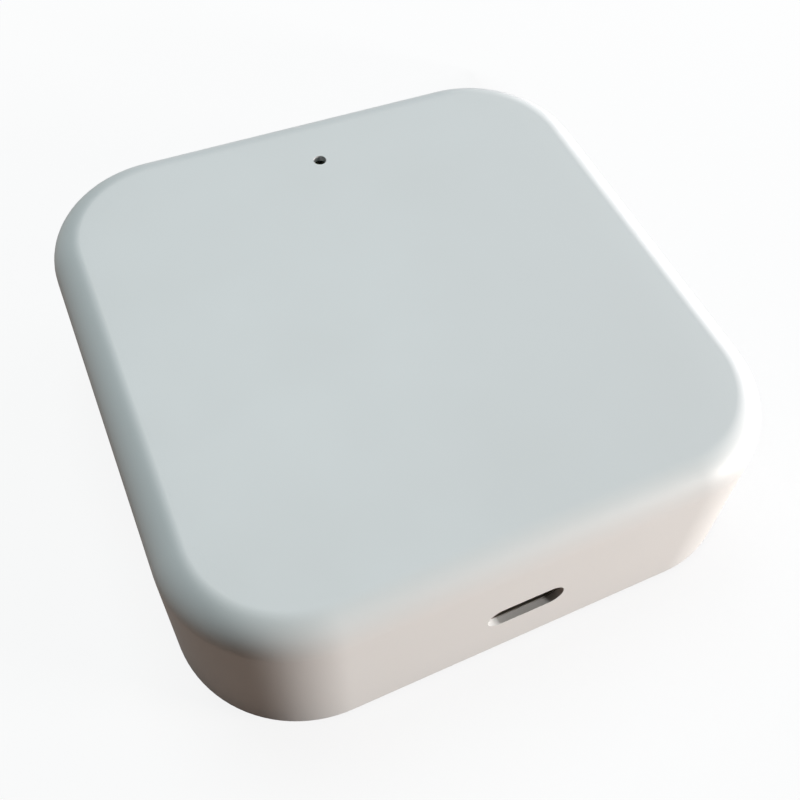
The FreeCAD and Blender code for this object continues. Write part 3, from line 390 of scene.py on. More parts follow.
def shell_hull(tree, size):
    """Sweep the wall's section round the rim and close the roof."""
    under = size.height - size.wall

    def inside(level):
        return size.wall / size.draft.math("COSINE") + lean(size, level)

    corners = [
        (size.roof_reach, size.height),
        (lean(size, size.height), size.height),
        (0.0, 0.0),
        (size.rim_lip, 0.0),
        (size.rim_lip, size.wall),
        (inside(size.wall), size.wall),
        (inside(under), under),
        (size.roof_reach, under),
    ]
    round_here = [0.0, size.top_round, 0.0, 0.0, 0.0, 0.0, size.top_round - size.wall, 0.0]
    section = line_through(tree, corners, closed=False)
    section = rounded(tree, section, by_index(tree, "FLOAT", round_here), steps=12)
    rim = rounded_frame(tree, size.width, size.width, size.corner_radius, steps=24)
    outwards = add(tree, "GeometryNodeInputNormal").outputs[0]
    inputs = {0: outwards, "Scale": -size.roof_reach}
    step = add(tree, "ShaderNodeVectorMath", inputs, operation="SCALE").outputs[0]
    roof_line = add(tree, "GeometryNodeSetPosition", {"Geometry": rim, "Offset": step}).outputs[0]
    plate = add(tree, "GeometryNodeFillCurve", {"Curve": roof_line}, mode="NGONS").outputs[0]
    roof = moved(tree, plate, (0.0, 0.0, size.height))
    ceiling = add(tree, "GeometryNodeFlipFaces", {0: moved(tree, plate, (0.0, 0.0, under))}).outputs[0]
    return welded(tree, together(tree, swept(tree, rim, section), roof, ceiling))


def shell_supports(tree, size):
    """Bosses with crossed webs at the corners, and the light pipe's tube with one web."""
    under = size.height - size.wall
    in_roof = size.height - size.wall / 2.0
    narrow = size.boss_diameter / 2.0
    broad = narrow + size.web_reach
    foot = under - size.web_drop
    right_side = [(narrow, foot), (broad, under), (broad, in_roof)]
    outline = right_side + [(-across, level) for across, level in reversed(right_side)]
    web = moved(tree, slab(tree, line_through(tree, outline), size.web_thickness), turn=(QUARTER, 0.0, 0.0))
    cross = together(tree, web, moved(tree, web, turn=(0.0, 0.0, QUARTER)))
    length = in_roof - size.board_top
    spread = size.boss_diameter + length * size.boss_draft.math("TANGENT") * 2.0
    boss = round_bar(tree, size.boss_diameter, length, (0.0, 0.0, size.board_top), spread)
    tube_foot = (0.0, size.light_place, size.tube_end)
    tube = round_bar(tree, size.tube_diameter, in_roof - size.tube_end, tube_foot)
    return [
        at_corners(tree, boss, size.boss_place, size.boss_place),
        at_corners(tree, cross, size.boss_place, size.boss_place),
        tube,
        moved(tree, web, (0.0, size.light_place, 0.0)),
    ]


def shell_cores(tree, size):
    """Screw pilots, light hole with its seat, the socket's slot and the catches."""
    spare = size.wall
    pilot_foot = (0.0, 0.0, size.board_top - spare)
    pilot = round_bar(tree, size.pilot_diameter, size.pilot_depth + spare, pilot_foot)
    seat_depth = size.height - size.light_skin - size.tube_end + spare
    seat = round_bar(tree, size.pipe_bore, seat_depth, (0.0, size.light_place, size.tube_end - spare))
    hole_foot = (0.0, size.light_place, size.height - size.wall)
    hole = round_bar(tree, size.light_hole, size.wall * 2.0, hole_foot)
    slot_line = rounded_frame(tree, size.slot_width, size.slot_height, size.slot_height / 2.0, steps=16)
    slot_place = (0.0, -size.width / 2.0, size.slot_level)
    slot = moved(tree, slab(tree, slot_line, size.wall * 4.0), slot_place, (QUARTER, 0.0, 0.0))
    reach = size.width / 2.0 - lean(size, size.catch_level) - size.catch_skin - size.wall / 2.0
    level = size.catch_level + size.catch_height / 2.0
    side_catch = block(tree, size.wall, size.catch_width, size.catch_height, (0.0, 0.0, level))
    end_catch = block(tree, size.catch_width, size.wall, size.catch_height, (0.0, 0.0, level))
    return [
        at_corners(tree, pilot, size.boss_place, size.boss_place),
        seat,
        hole,
        slot,
        at_corners(tree, side_catch, reach, size.catch_offset),
        at_corners(tree, end_catch, size.catch_offset, reach),
    ]


SHELL_TREE, shell = growth(
    "housing_shell",
    rim_level=0.5 * MM,
    width=70 * MM,
    height=20.5 * MM,
    corner_radius=14.9 * MM,
    draft=math.radians(2),
    top_round=3.75 * MM,
    wall=2 * MM,
    rim_lip=1 * MM,
    roof_reach=8 * MM,
    board_top=6.67 * MM,
    boss_place=24 * MM,
    boss_diameter=5.5 * MM,
    boss_draft=math.radians(0.75),
    web_thickness=1 * MM,
    web_reach=2 * MM,
    web_drop=5 * MM,
    pilot_diameter=1.7 * MM,
    pilot_depth=6 * MM,
    light_place=25 * MM,
    light_hole=1.6 * MM,
    light_skin=0.8 * MM,
    pipe_bore=3.1 * MM,
    tube_diameter=5.5 * MM,
    tube_end=9.87 * MM,
    slot_width=9.2 * MM,
    slot_height=3.52 * MM,
    slot_level=8.3 * MM,
    catch_level=9 * MM,
    catch_height=1.8 * MM,
    catch_skin=1.1 * MM,
    catch_offset=12 * MM,
    catch_width=6.4 * MM,
)
solid_shell = fused(SHELL_TREE, shell_hull(SHELL_TREE, shell), *shell_supports(SHELL_TREE, shell))
open_shell = cored(SHELL_TREE, solid_shell, *shell_cores(SHELL_TREE, shell))
end_growth(SHELL_TREE, moved(SHELL_TREE, open_shell, (0.0, 0.0, shell.rim_level)))
box = box_of("top_shell")
sizes = {"rim_level": box.foot[2], "width": box.sides.x, "height": box.sides.z}
stand_in("top_shell", grown(SHELL_TREE, finish=WHITE, **sizes), edge=0.1 * MM)


# Light pipe: a clear moulded rod with a collar, pushed into the tube under the light hole.
# It carries the lamp's light up from the board. Its ends are left satin by the mould.
def clear(name, colour, roughness, transmission, index):
    """Clear moulded plastic or resin with a faintly uneven surface."""
    made, tree, surface = principled(name, colour, roughness)
    surface.inputs["Transmission Weight"].default_value = transmission
    surface.inputs["IOR"].default_value = index
    skin = effect(tree, MOULD_GRAIN, grain_size=0.4 * MM, patch_size=2 * MM)
    gloss = between(tree, skin["Patches"], roughness * 0.6, roughness * 1.5)
    feed(tree, gloss, surface.inputs["Roughness"])
    relief(tree, surface, skin["Height"], 0.1)
    return made


ONE_PLANE = math.radians(0.4)


def cad_copy(node, finish, whole_faces):
    """Copy a rigid node's shape, with its points merged and, if asked, each flat face in one piece."""
    shape = bmesh.new()
    shape.from_mesh(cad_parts[node].data)
    bmesh.ops.remove_doubles(shape, verts=shape.verts, dist=SAME_POINT)
    if whole_faces:
        bmesh.ops.dissolve_limit(shape, angle_limit=ONE_PLANE, verts=shape.verts, edges=shape.edges)
    shape.verts.index_update()
    corners = [corner.co[:] for corner in shape.verts]
    faces = [[corner.index for corner in face.verts] for face in shape.faces]
    shape.free()
    mesh = bpy.data.meshes.new(node)
    mesh.from_pydata(corners, [], faces)
    mesh.materials.append(finish)
    return mesh


def finished(node, finish, edge=0.0):
    """Finish a node whose own shape is right. Its edges stay sharp or get a small round."""
    stand_in(node, cad_copy(node, finish, whole_faces=edge > 0), edge)


CLEAR = clear("clear_acrylic", (0.90, 0.94, 0.94), roughness=0.2, transmission=1.0, index=1.49)
finished("light_pipe", CLEAR, edge=0.1 * MM)


# Circuit boards: glass cloth and resin, cut to shape by a router, with solder mask over the tracks.
# The mask is lighter where a track lies under it, and the cut edges show the pale laminate.
def laminate_group():
    """Tracks that run in blocks one way or the other, and a mask of the cut edges."""
    group = bpy.data.node_groups.new("laminate", "ShaderNodeTree")
    group_socket(group, "Position", "INPUT", "Vector")
    group_socket(group, "Track Pitch", "INPUT", "Float", 0.9 * MM)
    group_socket(group, "Block Size", "INPUT", "Float", 7 * MM)
    for name in ("Tracks", "Cut Edge"):
        group_socket(group, name, "OUTPUT", "Float")
    given = group.nodes.new("NodeGroupInput").outputs
    place = given["Position"]
    # A band texture of scale 1 repeats every pi tenths of a metre
    pace = {0: texture_scale(group, given["Track Pitch"]), 1: math.pi / 10}
    band_scale = add(group, "ShaderNodeMath", pace, operation="MULTIPLY").outputs[0]
    bands = []
    for direction in ("X", "Y"):
        inputs = {"Vector": place, "Scale": band_scale, "Distortion": 0}
        bands.append(add(group, "ShaderNodeTexWave", inputs, bands_direction=direction).outputs["Fac"])
    blocks = {"Vector": place, "Scale": texture_scale(group, given["Block Size"])}
    colour = add(group, "ShaderNodeTexVoronoi", blocks, distance="CHEBYCHEV").outputs["Color"]
    shade = add(group, "ShaderNodeSeparateColor", {"Color": colour}).outputs["Red"]
    way = add(group, "ShaderNodeMath", {0: shade, 1: 0.5}, operation="GREATER_THAN").outputs[0]
    lines = add(group, "ShaderNodeMix", {"Factor": way, 2: bands[0], 3: bands[1]}).outputs[0]
    tracks = add(group, "ShaderNodeMapRange", {"Value": lines, "From Min": 0.45, "From Max": 0.55})
    facing = add(group, "ShaderNodeNewGeometry").outputs["True Normal"]
    upright = add(group, "ShaderNodeSeparateXYZ", {0: facing}).outputs["Z"]
    flat = add(group, "ShaderNodeMath", {0: upright}, operation="ABSOLUTE").outputs[0]
    edge = add(group, "ShaderNodeMath", {0: flat, 1: 0.5}, operation="LESS_THAN").outputs[0]
    add(group, "NodeGroupOutput", {"Tracks": tracks.outputs["Result"], "Cut Edge": edge})
    return group


LAMINATE = laminate_group()


PALE_LAMINATE = (0.55, 0.50, 0.30)


def board_finish(name, mask, over_track, track_pitch):
    """Solder mask over tracks, with pale cut edges."""
    made, tree, surface = principled(name, mask, 0.35)
    layers = effect(tree, LAMINATE, track_pitch=track_pitch)
    face = mix_colours(tree, layers["Tracks"], mask, over_track)
    shade = mix_colours(tree, layers["Cut Edge"], face, PALE_LAMINATE)
    feed(tree, shade, surface.inputs["Base Color"])
    feed(tree, between(tree, layers["Cut Edge"], 0.3, 0.75), surface.inputs["Roughness"])
    relief(tree, surface, layers["Tracks"], 0.4, 0.03 * MM)
    return made


GREEN_MASK = board_finish("green_solder_mask", (0.012, 0.10, 0.045), (0.03, 0.19, 0.08), 0.9 * MM)
BLUE_MASK = board_finish("dark_solder_mask", (0.01, 0.03, 0.07), (0.02, 0.06, 0.13), 0.5 * MM)
finished("circuit_board", GREEN_MASK)
for board in ("wifi_module_board", "radio_module_board"):
    finished(board, BLUE_MASK, edge=0.02 * MM)


# Metal on the modules: a pressed can of tinned steel over the chips, and plated crystal lids.
# Rolled sheet shows fine streaks along its length, and plating dulls in soft patches.
def drawn_metal_group():
    """Fine streaks along one direction and soft patches of tarnish."""
    group = bpy.data.node_groups.new("drawn_metal", "ShaderNodeTree")
    group_socket(group, "Position", "INPUT", "Vector")
    group_socket(group, "Streaks Per Metre", "INPUT", "Vector", (6000, 300, 6000))
    group_socket(group, "Patch Size", "INPUT", "Float", 2 * MM)
    for name in ("Streaks", "Tarnish"):
        group_socket(group, name, "OUTPUT", "Float")
    given = group.nodes.new("NodeGroupInput").outputs
    stretch = {0: given["Position"], 1: given["Streaks Per Metre"]}
    along = add(group, "ShaderNodeVectorMath", stretch, operation="MULTIPLY").outputs[0]
    streaks = add(group, "ShaderNodeTexNoise", {"Vector": along, "Scale": 1, "Detail": 2})
    patches = {"Vector": given["Position"], "Scale": texture_scale(group, given["Patch Size"]), "Detail": 4}
    tarnish = add(group, "ShaderNodeTexNoise", patches)
    result = {"Streaks": streaks.outputs["Fac"], "Tarnish": tarnish.outputs["Fac"]}
    add(group, "NodeGroupOutput", result)
    return group


DRAWN_METAL = drawn_metal_group()


def plated(name, bright, dull, roughness, streaks=(6000, 300, 6000), strength=0.1):
    """Plated or rolled metal with streaks in its gloss and dull patches in its colour."""
    made, tree, surface = principled(name, bright, roughness, metallic=1.0)
    wear = effect(tree, DRAWN_METAL, streaks_per_metre=streaks)
    feed(tree, mix_colours(tree, wear["Tarnish"], bright, dull), surface.inputs["Base Color"])
    gloss = between(tree, wear["Streaks"], roughness * 0.7, roughness * 1.4)
    feed(tree, gloss, surface.inputs["Roughness"])
    relief(tree, surface, wear["Streaks"], strength, 0.01 * MM)
    return made


SHIELD_STEEL = plated("tinned_sheet", (0.68, 0.68, 0.66), (0.55, 0.55, 0.53), 0.3, streaks=(300, 6000, 6000))
LID_METAL = plated("plated_lid", (0.70, 0.68, 0.62), (0.62, 0.60, 0.54), 0.25)
finished("wifi_shield_can", SHIELD_STEEL, edge=0.02 * MM)
for crystal in ("wifi_crystal", "radio_crystal"):
    finished(crystal, LID_METAL, edge=0.08 * MM)


# Aerials: a flat copper track printed on each module's free end, folded back and forth.
# The fold count, pitch and width follow the printed line, and its bends are square with a small round.
COPPER = plated("printed_copper", (0.80, 0.50, 0.25), (0.62, 0.38, 0.20), 0.35)
AERIAL_TREE, aerial = growth(
    "folded_aerial",
    foot=(0.0, 0.0, 0.0),
    fingers=7,
    first_side=1.0,
    pitch=1.6 * MM,
    finger_length=4.5 * MM,
    track_width=0.5 * MM,
    thickness=0.07 * MM,
)
order = Size(AERIAL_TREE, add(AERIAL_TREE, "GeometryNodeInputIndex").outputs[0])
turned = ((order + 1.0) / 2.0).math("FLOOR").math("MODULO", 2.0) * 2.0 - 1.0
across = turned * aerial.first_side * (aerial.finger_length - aerial.track_width) / 2.0
finger = (order / 2.0).math("FLOOR") - (aerial.fingers - 1.0) / 2.0
row = add(AERIAL_TREE, "GeometryNodeMeshLine", {"Count": aerial.fingers * 2.0}).outputs[0]
inputs = {"Geometry": row, "Position": vector(AERIAL_TREE, across, finger * aerial.pitch, 0.0)}
placed = add(AERIAL_TREE, "GeometryNodeSetPosition", inputs).outputs[0]
track_line = add(AERIAL_TREE, "GeometryNodeMeshToCurve", {"Mesh": placed}).outputs[0]
track_line = rounded(AERIAL_TREE, track_line, aerial.track_width * 0.6, steps=3)
half_width = aerial.track_width / 2.0
lower_edge = [(-half_width, 0.0), (half_width, 0.0)]
upper_edge = [(half_width, aerial.thickness), (-half_width, aerial.thickness)]
ribbon = swept(AERIAL_TREE, track_line, line_through(AERIAL_TREE, lower_edge + upper_edge), caps=True)
end_growth(AERIAL_TREE, moved(AERIAL_TREE, ribbon, aerial.foot))
for node, fingers, first_side in (("wifi_antenna", 7, -1.0), ("radio_antenna", 5, 1.0)):
    box = box_of(node)
    sizes = {"foot": box.foot, "finger_length": box.sides.x, "thickness": box.sides.z}
    track = grown(AERIAL_TREE, finish=COPPER, fingers=fingers, first_side=first_side, **sizes)
    stand_in(node, track, edge=0.01 * MM)


# Chips and supply parts: black epoxy bodies with matt faces from the mould, and tinned leads.
# The reservoir capacitor is an aluminium can crimped over a black base, and the fuse is dipped in green.
EPOXY = moulded("chip_epoxy", (0.02, 0.02, 0.022), (0.03, 0.03, 0.032), 0.55, grain=0.08 * MM, strength=0.3)
BASE_BLACK = moulded("base_plastic", (0.03, 0.03, 0.033), (0.04, 0.04, 0.042), 0.5, grain=0.1 * MM)
FUSE_GREEN = moulded("fuse_coating", (0.03, 0.10, 0.05), (0.04, 0.13, 0.065), 0.4, grain=0.2 * MM)
CAN_METAL = plated("can_aluminium", (0.76, 0.77, 0.78), (0.68, 0.69, 0.70), 0.3, streaks=(300, 300, 8000))
TIN = plated("tin_plating", (0.70, 0.70, 0.69), (0.58, 0.58, 0.57), 0.28)
for body in ("wifi_chip", "memory_chip", "radio_chip", "regulator_body", "surge_diode_body"):
    finished(body, EPOXY, edge=0.06 * MM)
for leads in ("regulator_leads", "surge_diode_leads"):
    finished(leads, TIN, edge=0.05 * MM)
finished("reservoir_base", BASE_BLACK, edge=0.08 * MM)
finished("reservoir_can", CAN_METAL, edge=0.12 * MM)
finished("input_fuse", FUSE_GREEN, edge=0.12 * MM)


# Small chips in rows: a ceramic body in each, with a tinned cap over both ends, across the row.
# The capacitors are tan all through, and the resistors are glazed black.
def row_of(tree, part, count, step):
    """Stand copies of a part in a row about the middle. The step from one to the next is three sizes."""
    start = [(count - 1.0) * side * -0.5 for side in step]
    inputs = {"Count": count, "Start Location": vector(tree, *start), "Offset": vector(tree, *step)}
    row = add(tree, "GeometryNodeMeshLine", inputs).outputs[0]
    return add(tree, "GeometryNodeInstanceOnPoints", {"Points": row, "Instance": part}).outputs[0]


CHIP_TREE, chip = growth(
    "chip_row",
    finishes=("finish", "cap_finish"),
    middle=(0.0, 0.0, 0.0),
    count=5,
    pitch=2.2 * MM,
    length=1.6 * MM,
    width=0.8 * MM,
    height=0.8 * MM,
    cap_length=0.3 * MM,
    cap_skin=0.03 * MM,
)
inner_width = chip.width - chip.cap_skin * 2.0
inner_height = chip.height - chip.cap_skin * 2.0
ceramic = block(CHIP_TREE, chip.length - chip.cap_length, inner_width, inner_height)
cap = block(CHIP_TREE, chip.cap_length, chip.width, chip.height)
cap_place = (chip.length - chip.cap_length) / 2.0
caps = [moved(CHIP_TREE, cap, (side, 0.0, 0.0)) for side in (cap_place, -cap_place)]
chips = row_of(CHIP_TREE, together(CHIP_TREE, ceramic, *caps), chip.count, (0.0, chip.pitch, 0.0))
away = {0: add(CHIP_TREE, "GeometryNodeInputPosition").outputs[0], 1: chip.middle}
from_middle = add(CHIP_TREE, "ShaderNodeVectorMath", away, operation="SUBTRACT").outputs[0]
across = add(CHIP_TREE, "ShaderNodeSeparateXYZ", {0: from_middle}).outputs["X"]
in_cap = Size(CHIP_TREE, across).math("ABSOLUTE").math("GREATER_THAN", cap_place - chip.cap_length)
end_growth(CHIP_TREE, moved(CHIP_TREE, chips, chip.middle), cap_finish=in_cap)
TAN_CERAMIC = moulded("tan_ceramic", (0.42, 0.28, 0.16), (0.36, 0.24, 0.13), 0.45, grain=0.1 * MM)
BLACK_GLAZE = moulded("black_glaze", (0.03, 0.03, 0.035), (0.05, 0.05, 0.055), 0.3, grain=0.1 * MM)
for node, ceramic_finish, slot in (
    ("chip_capacitors", TAN_CERAMIC, "capacitor_ceramic"),
    ("chip_resistors", BLACK_GLAZE, "resistor_ceramic"),
):
    box = box_of(node)
    sizes = {"middle": box.middle, "length": box.sides.x, "height": box.sides.z}
    row = grown(CHIP_TREE, finish=ceramic_finish, cap_finish=TIN, **sizes)
    stand_in(node, row, edge=0.05 * MM)


# Power socket: a bent sleeve of nickel-plated steel round a black moulded tongue.
# Two rows of gold-plated springs lie on the tongue, wiped bright by plugs.
# The sleeve's grey is darker and warmer than clean nickel: partly the plating's own tone, partly painted
# shade for the dim slot it sits behind.
NICKEL_AND_SHADE = plated("nickel_plating_and_painted_shade", (0.46, 0.42, 0.38), (0.37, 0.34, 0.31), 0.32, strength=0.15)
TONGUE_BLACK = moulded("tongue_plastic", (0.015, 0.015, 0.016), (0.02, 0.02, 0.02), 0.45, grain=0.1 * MM)
GOLD = plated("gold_plating", (0.83, 0.60, 0.25), (0.72, 0.50, 0.20), 0.2, streaks=(9000, 400, 9000))
finished("usb_receptacle_shell", NICKEL_AND_SHADE, edge=0.06 * MM)
finished("usb_receptacle_insulator", TONGUE_BLACK, edge=0.05 * MM)
SPRING_TREE, spring = growth(
    "spring_rows",
    middle=(0.0, 0.0, 0.0),
    count=12,
    pitch=0.5 * MM,
    width=0.25 * MM,
    length=3.2 * MM,
    thickness=0.08 * MM,
    height=0.86 * MM,
)
one_spring = block(SPRING_TREE, spring.width, spring.length, spring.thickness)
springs = row_of(SPRING_TREE, one_spring, spring.count, (spring.pitch, 0.0, 0.0))
row_level = (spring.height - spring.thickness) / 2.0
both_rows = [moved(SPRING_TREE, springs, (0.0, 0.0, level)) for level in (row_level, -row_level)]
end_growth(SPRING_TREE, moved(SPRING_TREE, together(SPRING_TREE, *both_rows), spring.middle))
box = box_of("usb_contacts")
sizes = {"middle": box.middle, "length": box.sides.y, "height": box.sides.z}
stand_in("usb_contacts", grown(SPRING_TREE, finish=GOLD, **sizes), edge=0.015 * MM)


# Status lamp: a white reflector cup filled with clear yellow resin, soldered on the board.
# It stands under the light pipe, and is off here.
LAMP_WHITE = moulded("lamp_reflector", (0.82, 0.82, 0.79), (0.78, 0.78, 0.75), 0.45, grain=0.1 * MM)
finished("lamp_package", LAMP_WHITE, edge=0.05 * MM)
YELLOW_RESIN = clear("phosphor_resin", (0.85, 0.75, 0.30), roughness=0.25, transmission=0.35, index=1.5)
finished("lamp_resin", YELLOW_RESIN, edge=0.03 * MM)


# Board screws: four zinc-plated screws, driven up through the board into the shell's bosses.
# A screw is headed and its cross struck cold, then its sharp thread is rolled. It cuts its own way in.
CORNERS = ("front_left", "front_right", "rear_left", "rear_right")


def turned_solid(tree, reach, outline, round_radius):
    """Turn an outline, given from the top down as distances from the axis and levels, about the axis."""
    corners = [(reach - distance, level) for distance, level in outline]
    section = rounded(tree, line_through(tree, corners, closed=False), round_radius, steps=4)
    circle = add(tree, "GeometryNodeCurvePrimitiveCircle", {"Resolution": 48, "Radius": reach}).outputs[0]
    return welded(tree, swept(tree, circle, section))


POINT_WIDTH = 0.1


def threaded_bar(tree, size):
    """Raise a thread round a bar and draw its top to a point."""
    inputs = {"Vertices": 24, "Side Segments": 84, "Depth": size.shank_length}
    inputs["Radius"] = size.thread_diameter / 2.0
    bar = add(tree, "GeometryNodeMeshCylinder", inputs).outputs[0]
    place = add(tree, "ShaderNodeSeparateXYZ", {0: add(tree, "GeometryNodeInputPosition").outputs[0]}).outputs
    x, y, z = (Size(tree, place[axis]) for axis in "XYZ")
    turns = z / size.thread_pitch - y.math("ARCTAN2", x) / (math.pi * 2)
    ridge = turns.math("PINGPONG", 0.5) * 2.0
    depth = 1.0 - size.root_diameter / size.thread_diameter
    from_tip = (size.shank_length / 2.0 - z) / size.tip_length
    taper = (from_tip * (1.0 - POINT_WIDTH) + POINT_WIDTH).math("MINIMUM", 1.0)
    share = (ridge * depth + 1.0 - depth) * taper
    inputs = {"Geometry": bar, "Position": vector(tree, x * share, y * share, z)}
    return add(tree, "GeometryNodeSetPosition", inputs).outputs[0]


SCREW_TREE, screw = growth(
    "board_screw",
    head_foot=(0.0, 0.0, 0.0),
    head_diameter=3.8 * MM,
    head_height=1.3 * MM,
    head_slope=0.4 * MM,
    cross_width=2 * MM,
    cross_slot=0.5 * MM,
    cross_depth=0.8 * MM,
    thread_diameter=1.7 * MM,
    root_diameter=1.35 * MM,
    thread_pitch=0.7 * MM,
    shank_length=6 * MM,
    tip_length=1 * MM,
    edge_round=0.08 * MM,
)
rim_reach = screw.head_diameter / 2.0
head_outline = [
    (0.0, screw.head_height),
    (rim_reach, screw.head_height),
    (rim_reach, screw.head_slope),
    (rim_reach - screw.head_slope, 0.0),
    (0.0, 0.0),
]
head = turned_solid(SCREW_TREE, rim_reach, head_outline, screw.edge_round)
arms = [
    block(SCREW_TREE, screw.cross_width, screw.cross_slot, screw.cross_depth * 2.0),
    block(SCREW_TREE, screw.cross_slot, screw.cross_width, screw.cross_depth * 2.0),
]
head = cored(SCREW_TREE, head, fused(SCREW_TREE, *arms))
shank_middle = screw.head_height + screw.shank_length / 2.0
shank = moved(SCREW_TREE, threaded_bar(SCREW_TREE, screw), (0.0, 0.0, shank_middle))
end_growth(SCREW_TREE, moved(SCREW_TREE, together(SCREW_TREE, head, shank), screw.head_foot))
ZINC = plated("zinc_plating", (0.62, 0.63, 0.62), (0.50, 0.51, 0.50), 0.3, streaks=(2000, 2000, 9000))
for corner in CORNERS:
    box = box_of(f"board_screw_{corner}")
    one_screw = grown(SCREW_TREE, finish=ZINC, head_foot=box.foot, head_diameter=box.sides.x)
    stand_in(f"board_screw_{corner}", one_screw)


# Base cover: a flat lid of the same white plastic, snapped into the rim from below by eight hooks.
# It keeps round recesses for the feet, and every edge is softened by the mould.
finished("base_cover", WHITE, edge=0.1 * MM)


# Feet: four soft round pads stuck in the cover's recesses.
# They are cut from grey rubber sheet with a sloped lower edge, matt all over.
FOOT_TREE, pad = growth(
    "round_pad",
    foot=(0.0, 0.0, 0.0),
    diameter=8 * MM,
    thickness=1.5 * MM,
    slope=0.4 * MM,
    edge_round=0.2 * MM,
)
reach = pad.diameter / 2.0
upper_face = [(0.0, pad.thickness), (reach, pad.thickness)]
lower_face = [(reach, pad.slope), (reach - pad.slope, 0.0), (0.0, 0.0)]
round_pad = turned_solid(FOOT_TREE, reach, upper_face + lower_face, pad.edge_round)
end_growth(FOOT_TREE, moved(FOOT_TREE, round_pad, pad.foot))
RUBBER = moulded("foot_rubber", (0.10, 0.10, 0.105), (0.13, 0.13, 0.13), 0.8, grain=0.15 * MM, strength=0.3)
for corner in CORNERS:
    box = box_of(f"foot_{corner}")
    sizes = {"foot": box.foot, "diameter": box.sides.x, "thickness": box.sides.z}
    one_pad = grown(FOOT_TREE, finish=RUBBER, **sizes)
    stand_in(f"foot_{corner}", one_pad, edge=0.05 * MM)


# Floor: a wide plain pale table that keeps the soft shadow of the object.
# Seen straight it is near white, and full white further out, where it meets the air without a line.
# What it throws back on the walls is a little warm.
def stage_sheet(name, corners, finish):
    """Put up a flat sheet of the studio, which isn't part of the object."""
    mesh = bpy.data.meshes.new(name)
    mesh.from_pydata(corners, [], [(0, 1, 2, 3)])
    mesh.materials.append(finish)
    sheet = bpy.data.objects.new(name, mesh)
    bpy.context.scene.collection.objects.link(sheet)


FLOOR_REACH = 3
WARM_TABLE = (0.39, 0.26, 0.20)
WHITE_TABLE = (0.95, 0.95, 0.95)
GLOW_IN_GLOSS = 0.24
GLOW_NEAR = 0.88
PALE_TABLE, tree, surface = principled("pale_table", WARM_TABLE, 0.9)
surface.inputs["Specular IOR Level"].default_value = 0
rays = add(tree, "ShaderNodeLightPath").outputs
table_colour = mix_colours(tree, rays["Is Camera Ray"], WARM_TABLE, WHITE_TABLE)
feed(tree, table_colour, surface.inputs["Base Color"])
glossy_share = {0: rays["Is Glossy Ray"], 1: GLOW_IN_GLOSS}
in_gloss = add(tree, "ShaderNodeMath", glossy_share, operation="MULTIPLY").outputs[0]
place = add(tree, "ShaderNodeTexCoord").outputs["Object"]
away = add(tree, "ShaderNodeVectorMath", {0: place}, operation="LENGTH").outputs["Value"]
fade = {"Value": away, "From Min": 60 * MM, "From Max": 300 * MM, "To Min": GLOW_NEAR, "To Max": 1.0}
white_share = add(tree, "ShaderNodeMapRange", fade).outputs["Result"]
camera_share = {0: rays["Is Camera Ray"], 1: white_share, 2: in_gloss}
share = add(tree, "ShaderNodeMath", camera_share, operation="MULTIPLY_ADD").outputs[0]
glow = add(tree, "ShaderNodeEmission", {"Color": (1, 1, 1, 1), "Strength": 1})
seen_table = add(tree, "ShaderNodeMixShader", {"Fac": share, 1: surface.outputs[0], 2: glow.outputs[0]})
feed(tree, seen_table.outputs[0], tree.nodes["Material Output"].inputs["Surface"])
floor_plan = ((-1, -1), (1, -1), (1, 1), (-1, 1))
floor_corners = [(across * FLOOR_REACH, along * FLOOR_REACH, 0) for across, along in floor_plan]
stage_sheet("floor", floor_corners, PALE_TABLE)


# Air of the studio: a low even light all round, white where it is seen straight or through clear plastic.
# It keeps the background white and puts no colour on the object.
world = bpy.data.worlds.new("studio")
bpy.context.scene.world = world
world.use_nodes = True
tree = world.node_tree
air = tree.nodes["Background"]
air.inputs["Color"].default_value = (1, 1, 1, 1)
air.inputs["Strength"].default_value = 0.01
white = add(tree, "ShaderNodeBackground", {"Color": (1, 1, 1, 1), "Strength": 1})
rays = add(tree, "ShaderNodeLightPath").outputs
clear_view = {0: rays["Is Camera Ray"], 1: rays["Is Transmission Ray"]}
straight = add(tree, "ShaderNodeMath", clear_view, operation="MAXIMUM").outputs[0]
seen_air = add(tree, "ShaderNodeMixShader", {"Fac": straight, 1: air.outputs[0], 2: white.outputs[0]})
feed(tree, seen_air.outputs[0], tree.nodes["World Output"].inputs["Surface"])


# Studio lights: a low broad window at the right front, a second low one further back, and the sky behind.
# Each is a soft box that faces the object. Azimuth 0 is in front of it and 90 at its right.
for name, azimuth, elevation, distance, width, height, colour, power in (
    ("window_front", 55, 7, 0.9, 0.26, 0.3, (1.0, 0.965, 0.945), 12.8),
    ("window_side", 110, 8, 0.7, 0.4, 0.3, (1.0, 0.94, 1.0), 4.5),
    ("sky_behind", 180, 65, 0.8, 0.5, 0.5, (0.85, 0.97, 1.0), 3.95),
):
    lamp = bpy.data.lights.new(name, "AREA")
    lamp.shape = "RECTANGLE"
    lamp.size = width
    lamp.size_y = height
    lamp.color = colour
    lamp.energy = power
    soft_box = bpy.data.objects.new(name, lamp)
    bpy.context.scene.collection.objects.link(soft_box)
    turn = Matrix.Rotation(math.radians(azimuth), 4, "Z")
    tilt = Matrix.Rotation(math.radians(90 - elevation), 4, "X")
    soft_box.matrix_world = turn @ tilt @ Matrix.Translation((0, 0, distance))


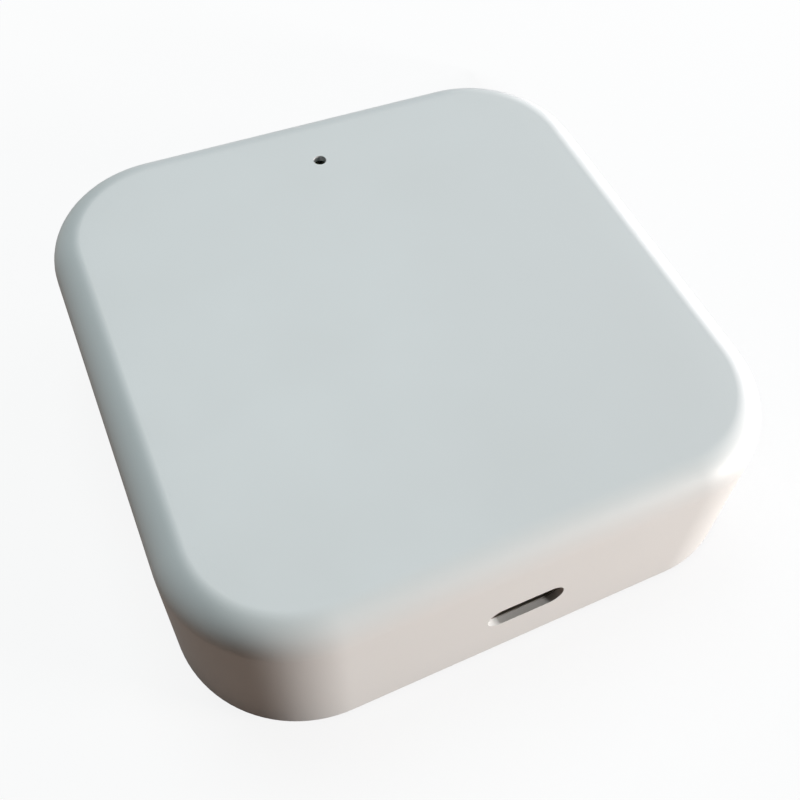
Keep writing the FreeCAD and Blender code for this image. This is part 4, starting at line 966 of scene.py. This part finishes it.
# Net: a studio gauze that stands on the right of the object, thicker towards its foot and its back end.
# It holds back over half of the low light on the right wall, which would be lost in white without it.
# The light over it, on the roof and the rolled edge, is whole. The camera doesn't see it.
NET_PLACE = 40 * MM
NET_FRONT = -36 * MM
NET_BACK = 60 * MM
NET_TOP = 20 * MM
PASSED_AT_MOST = (1, 1, 1)
PASSED_AT_LEAST = (0.42, 0.42, 0.42)
GAUZE = bpy.data.materials.new("gauze")
GAUZE.use_nodes = True
tree = GAUZE.node_tree
tree.nodes.remove(tree.nodes["Principled BSDF"])
place = add(tree, "ShaderNodeTexCoord").outputs["Object"]
across = add(tree, "ShaderNodeSeparateXYZ", {0: place}).outputs
from_front = {"Value": across["Y"], "From Min": NET_FRONT, "From Max": NET_FRONT + 26 * MM}
from_top = {"Value": across["Z"], "From Min": NET_TOP, "From Max": NET_TOP - 5 * MM}
thick_back = add(tree, "ShaderNodeMapRange", from_front, interpolation_type="SMOOTHSTEP").outputs["Result"]
thick_foot = add(tree, "ShaderNodeMapRange", from_top, interpolation_type="SMOOTHSTEP").outputs["Result"]
thickness = add(tree, "ShaderNodeMath", {0: thick_back, 1: thick_foot}, operation="MULTIPLY").outputs[0]
held_back = mix_colours(tree, thickness, PASSED_AT_MOST, PASSED_AT_LEAST)
rays = add(tree, "ShaderNodeLightPath").outputs
passed_on = mix_colours(tree, rays["Is Camera Ray"], held_back, PASSED_AT_MOST)
see_through = add(tree, "ShaderNodeBsdfTransparent", {"Color": passed_on})
feed(tree, see_through.outputs[0], tree.nodes["Material Output"].inputs["Surface"])
net_outline = ((NET_FRONT, 0), (NET_BACK, 0), (NET_BACK, NET_TOP), (NET_FRONT, NET_TOP))
stage_sheet("net", [(NET_PLACE, along, level) for along, level in net_outline], GAUZE)


# Camera: hand held close above the front left corner, and a little turned.
# The object lies off the lens's axis in the photograph, which the two shifts follow.
camera = bpy.data.objects.new("camera", bpy.data.cameras.new("camera"))
bpy.context.scene.collection.objects.link(camera)
bpy.context.scene.camera = camera
turn = Matrix.Rotation(math.radians(-31.26), 4, "Z")
tilt = Matrix.Rotation(math.radians(90 - 56.42), 4, "X")
roll = Matrix.Rotation(math.radians(7.13), 4, "Z")
place = Matrix.Translation(Vector((-29.35, -62.94, 102.66)) * MM)
camera.matrix_world = place @ turn @ tilt @ roll
camera.data.sensor_width = 36
camera.data.lens = 42.06
camera.data.shift_x = -0.0646
camera.data.shift_y = 0.0215
camera.data.clip_start = 5 * MM

bpy.context.scene.view_settings.view_transform = "Standard"
